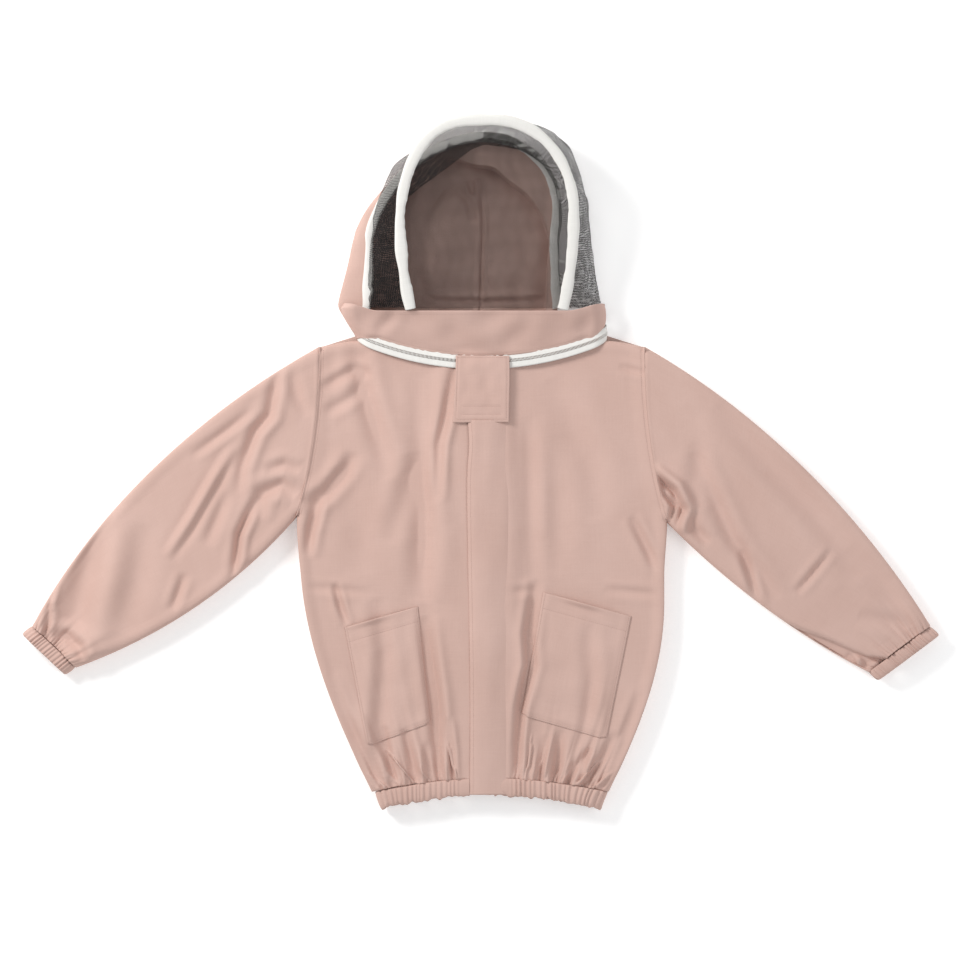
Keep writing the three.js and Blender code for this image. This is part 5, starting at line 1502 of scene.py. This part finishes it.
def side_net_piece():
    """The net over the crown and sides, folded between the two hoops as it lies."""
    pitch = 0.0027
    s, run = along_hoop("front", pitch)
    count = len(s)
    first = hoop_line("front", s, 0.001, -0.0035)
    outer, inner = blurred_line(table_line(NET_OUTER, s), 8), blurred_line(table_line(NET_INNER, s), 8)
    rear = hoop_line("rear", s, 0.002, 0.0036)
    wave = ripples(run, 0 * run, 0.08, 161) * 0.0025
    outer_z = 0.036 + 0.010 * smooth(0.35, 0.5, s) * smooth(0.75, 0.55, s) + wave
    inner_z = rear[:, 2] + 0.010 + 0.004 * ripples(run, 0 * run, 0.04, 163)
    grid = []
    legs = 76
    for k in range(legs + 1):
        t = k / legs
        if t < 0.42:
            f = t / 0.42
            e = math.sin(f * math.pi / 2)
            plan = first[:, :2] * (1 - e) + outer * e
            z = first[:, 2] + (outer_z - first[:, 2]) * (1 - math.cos(f * math.pi / 2))
        elif t < 0.80:
            f = (t - 0.42) / 0.38
            e = f * f * (3 - 2 * f)
            plan = outer * (1 - e) + inner * e
            z = outer_z + (inner_z - outer_z) * f + 0.006 * math.sin(f * math.pi) * (1 - 2 * f)
        else:
            f = (t - 0.80) / 0.20
            plan = inner * (1 - f) + rear[:, :2] * f
            z = inner_z + (rear[:, 2] - inner_z) * math.sin(f * math.pi / 2)
        plan = plan + (0.0007 * ripples(run, 0 * run + t * 0.5, 0.06, 165))[:, None] * math.sin(t * math.pi)
        grid.append(np.concatenate([plan,
                                    z[:, None]
                                    + 0.0012 * (ripples(run, 0 * run + t * 0.3, 0.035, 167))[:, None]
                                    * math.sin(t * math.pi)], -1))
    grid = np.stack(grid, 1)
    step = np.linalg.norm(np.diff(grid, axis=1), axis=-1)
    reach = np.concatenate([np.zeros((count, 1)), np.cumsum(step, axis=1)], 1)
    cells = int(np.median(reach[:, -1]) / pitch)
    even = np.zeros((count, cells + 1, 3))
    for i in range(count):
        at = np.linspace(0, reach[i, -1], cells + 1)
        for k in range(3):
            even[i, :, k] = np.interp(at, reach[i], grid[i, :, k])
    even[..., 2] = np.maximum(even[..., 2], 0.004)
    obj = opened(make_mesh("side_net_mesh", even, grid_faces(count, cells + 1), material=NET, flip=True))
    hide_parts("side_net")
    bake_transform(obj)
    return obj


side_net = side_net_piece()

# ---------------------------------------------------------------- the hood's cloth back


WALL_FOOT = [(-0.055, 0.100, 0.225), (0.0, 0.104, 0.255), (0.12, 0.108, 0.330), (0.22, 0.111, 0.370),
             (0.30, 0.0974, 0.409),
             (0.37, 0.0726, 0.441), (0.44, 0.0363, 0.468), (0.47, 0.020, 0.486), (0.50, -0.002, 0.4885),
             (0.56, -0.036, 0.487), (0.62, -0.060, 0.480), (0.70, -0.100, 0.450), (1.055, -0.120, 0.226)]


def hood_cloth_piece():
    """From the rear hoop out and under, then in over the floor to the middle seam, and on below
    the chin band to the zip round the neck."""
    s = np.concatenate([np.linspace(-0.055, 0, 10, endpoint=False), np.linspace(0, 1, 190),
                        np.linspace(1, 1.055, 11)[1:]])
    top = hoop_line("rear", np.clip(s, 0, 1), 0.0, -0.003)
    beyond = np.where(s < 0, -s, np.where(s > 1, s - 1, 0)) / 0.055
    top[:, 1] -= 0.031 * beyond
    top[:, 2] -= 0.004 * beyond
    out = hoop_line("rear", np.clip(s, 0, 1), 1.0) - hoop_line("rear", np.clip(s, 0, 1))
    bulge = np.interp(s, [-0.055, 0.0, 0.22, 0.45, 0.60, 0.66, 0.70, 0.75, 0.80, 0.88, 0.96, 1.0, 1.02,
                          1.055],
                      [0.006, 0.008, 0.006, 0.004, 0.003, 0.004, 0.010, 0.019, 0.027, 0.035, 0.044, 0.047,
                       0.040, 0.026])
    bulge = blurred_line(bulge[:, None], 6)[:, 0]
    target_y = 0.236 + (top[:, 1] - 0.2569) * (0.470 - 0.236) / (0.538 - 0.2569)
    target_y = np.where(beyond > 0, 0.236 - 0.0112 * beyond, target_y)
    seam_x = np.interp(target_y, [0.22, 0.30, 0.40, 0.46, 0.50], [-0.005, -0.003, 0.001, -0.003, -0.006])
    side_of = np.where(s < 0.5, 1.0, -1.0)
    seam = np.stack([seam_x - side_of * 0.0004, target_y, 0.0052 + side_of * 0.0009], -1)
    foot = blurred_line(table_line(WALL_FOOT, s), 6)
    rounded = smooth(0.50, 0.66, s)[:, None]
    wall_top = top.copy()
    wall_top[:, 2] += 0.003
    rows = []
    turn_share = 0.32
    shares = np.concatenate([np.linspace(0, turn_share, 40, endpoint=False), np.linspace(turn_share, 1, 80)])
    for r in shares:
        if r < turn_share:
            f = r / turn_share
            away = bulge * np.sin(f * math.pi) ** 0.8
            bag = top + out * away[:, None]
            bag[:, 2] = top[:, 2] + (0.0042 - top[:, 2]) * (0.5 - 0.5 * math.cos(f * math.pi))
            wall = wall_top.copy()
            wall[:, :2] = top[:, :2] + (foot - top[:, :2]) * f**0.75
            fall = 0.05 * math.sin(f * math.pi * 0.5) + 0.95 * smooth(0.88, 1.0, f)
            wall[:, 2] = wall_top[:, 2] + (0.0050 - wall_top[:, 2]) * fall
        else:
            f = (r - turn_share) / (1 - turn_share)
            ground = top.copy()
            ground[:, 2] = 0.0042
            bag = ground + (seam - ground) * f
            bag[:, 2] = 0.0042 + 0.004 * math.sin(f * math.pi) * (0.7
                                                            + 0.3 * ripples(s * 0.8, 0 * s, 0.12, 171))
            wall = bag.copy()
            wall[:, :2] = foot + (seam[:, :2] - foot) * f
            ridge = 0.0018 * math.exp(-(((1 - f) * 0.12 / 0.006) ** 2))
            bag[:, 2] += ridge
            wall[:, 2] += ridge
        rows.append(bag * rounded + wall * (1 - rounded))
    grid = np.stack(rows, 1)
    x, y, z = grid[..., 0], grid[..., 1], grid[..., 2]
    inside = (np.arange(grid.shape[1]) > 33)[None, :] * smooth(0.0, 0.02,
                                                            np.abs(np.arange(grid.shape[1]) - 33.0)
                                                            * 0.003)[None, :]
    for path, width, depth, skew in (
        ([(-0.0035, 0.475), (0.001, 0.40), (-0.003, 0.23)], 0.0035, 0.0026, 0.0),
        ([(-0.040, 0.455), (-0.022, 0.435), (-0.012, 0.40)], 0.006, 0.0035, 0.0),
        ([(-0.020, 0.470), (-0.014, 0.445)], 0.005, 0.0040, 0.0),
        ([(-0.060, 0.470), (-0.085, 0.440), (-0.10, 0.40)], 0.012, 0.0035, 0.0),
        ([(-0.105, 0.35), (-0.100, 0.30), (-0.090, 0.25)], 0.014, 0.0030, 0.0),
        ([(0.045, 0.42), (0.065, 0.35), (0.060, 0.25)], 0.022, 0.0022, 0.0),
        ([(-0.11, 0.272), (0.0, 0.268), (0.11, 0.272)], 0.006, 0.0030, 0.3),
    ):
        z += 1.6 * crease(x, y, path, width, depth, skew) * inside
    z += 0.0012 * ripples(x, y, 0.05, 173) * inside
    outer_part = (1 - inside)
    z += 0.0016 * ripples(x, y, 0.045, 175, (1.0, 1.6)) * outer_part * smooth(0.0, 0.2,
                                                            np.linspace(0, 1, grid.shape[1]))[None, :]
    grid[..., 2] = np.clip(z, 0.0022, 0.047)
    depth_run = np.concatenate([np.zeros((len(s), 1)),
                                np.cumsum(np.linalg.norm(np.diff(grid, axis=1), axis=-1), axis=1)], 1)
    uv = np.stack([s[:, None] * 0.85 + 0 * depth_run, depth_run + 0.5], -1)
    obj = sheet_piece("hood_back_cloth", grid, uv, COTTON, thick=0.0013, flip=True)
    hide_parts("hood_back_right", "hood_back_left", "collar_back")
    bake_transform(obj)
    return obj


hood_cloth = hood_cloth_piece()

# ---------------------------------------------------------------- finishes of the pieces kept as they are

TOUCH_PIECES = ("loop_patch", "hook_patch")
for name, obj in list(bpy.data.objects.items()):
    if obj.type != "MESH" or name not in NODES:
        continue
    if name.startswith(TOUCH_PIECES):
        finish = TOUCH
    elif "elastic" in name:
        finish = ELASTIC
    elif "wire" in name:
        finish = WIRE
    elif "teeth" in name:
        finish = TEETH
    elif "tape" in name:
        finish = TAPE
    elif name.startswith(("front_zip", "neck_zip", "front_slider", "front_pull", "neck_slider", "neck_pull")):
        finish = ZIP_METAL
    elif "binding" in name:
        finish = TAPE
    elif "net" in name:
        finish = NET
    else:
        finish = COTTON
    if not obj.material_slots:
        obj.data.materials.append(finish)
    for held in obj.material_slots:
        held.material = finish

# ---------------------------------------------------------------- floor, light and camera


def floor_finish():
    mat, tree, shader = material("pale floor")
    where = node(tree, "ShaderNodeTexCoord")
    noise = node(tree, "ShaderNodeTexNoise", {"Vector": where.outputs["Object"], "Scale": 3.0, "Detail": 3.0})
    ramp = node(tree, "ShaderNodeMapRange", {"Value": noise.outputs["Fac"], "To Min": 0.955, "To Max": 0.975})
    joined = node(tree, "ShaderNodeCombineColor",
                  {0: ramp.outputs[0], 1: ramp.outputs[0], 2: ramp.outputs[0]})
    tree.links.new(joined.outputs[0], shader.inputs["Base Color"])
    shader.inputs["Roughness"].default_value = 0.95
    shader.inputs["Emission Color"].default_value = (1.0, 1.0, 1.0, 1.0)
    shader.inputs["Emission Strength"].default_value = 0.24
    shader.inputs["Specular IOR Level"].default_value = 0.1
    return mat


side = 14.0
floor = make_mesh("studio_floor", np.array([[-side, -side, -0.0004], [side, -side, -0.0004],
                                            [side, side, -0.0004],
                                            [-side, side, -0.0004]]), [(0, 1, 2, 3)], material=floor_finish())

world = bpy.data.worlds.new("studio")
world.use_nodes = True
world.node_tree.nodes["Background"].inputs["Color"].default_value = (1.0, 1.0, 1.0, 1)
world.node_tree.nodes["Background"].inputs["Strength"].default_value = 0.54
bpy.context.scene.world = world


def area_light(name, place, size, power, colour=(1, 1, 1)):
    data = bpy.data.lights.new(name, "AREA")
    data.shape = "SQUARE"
    data.size = size
    data.energy = power
    data.color = colour
    lamp = collection_add(bpy.data.objects.new(name, data))
    lamp.location = place
    lamp.rotation_euler = (-Vector(place)).to_track_quat("-Z", "Y").to_euler()
    return lamp


area_light("key_light", (-2.6, 1.9, 2.3), 1.2, 112.0, (1.0, 0.985, 0.965))
area_light("fill_light", (2.4, -0.6, 3.2), 2.4, 34.0, (0.97, 0.98, 1.0))

data = bpy.data.cameras.new("camera")
data.sensor_width = 36.0
data.lens = 36.0 * 10.0 / 1.584
data.clip_end = 60.0
camera = collection_add(bpy.data.objects.new("camera", data))
camera.location = (-0.0033, -0.0246, 10.0)
bpy.context.scene.camera = camera
bpy.context.scene.view_settings.view_transform = "Standard"
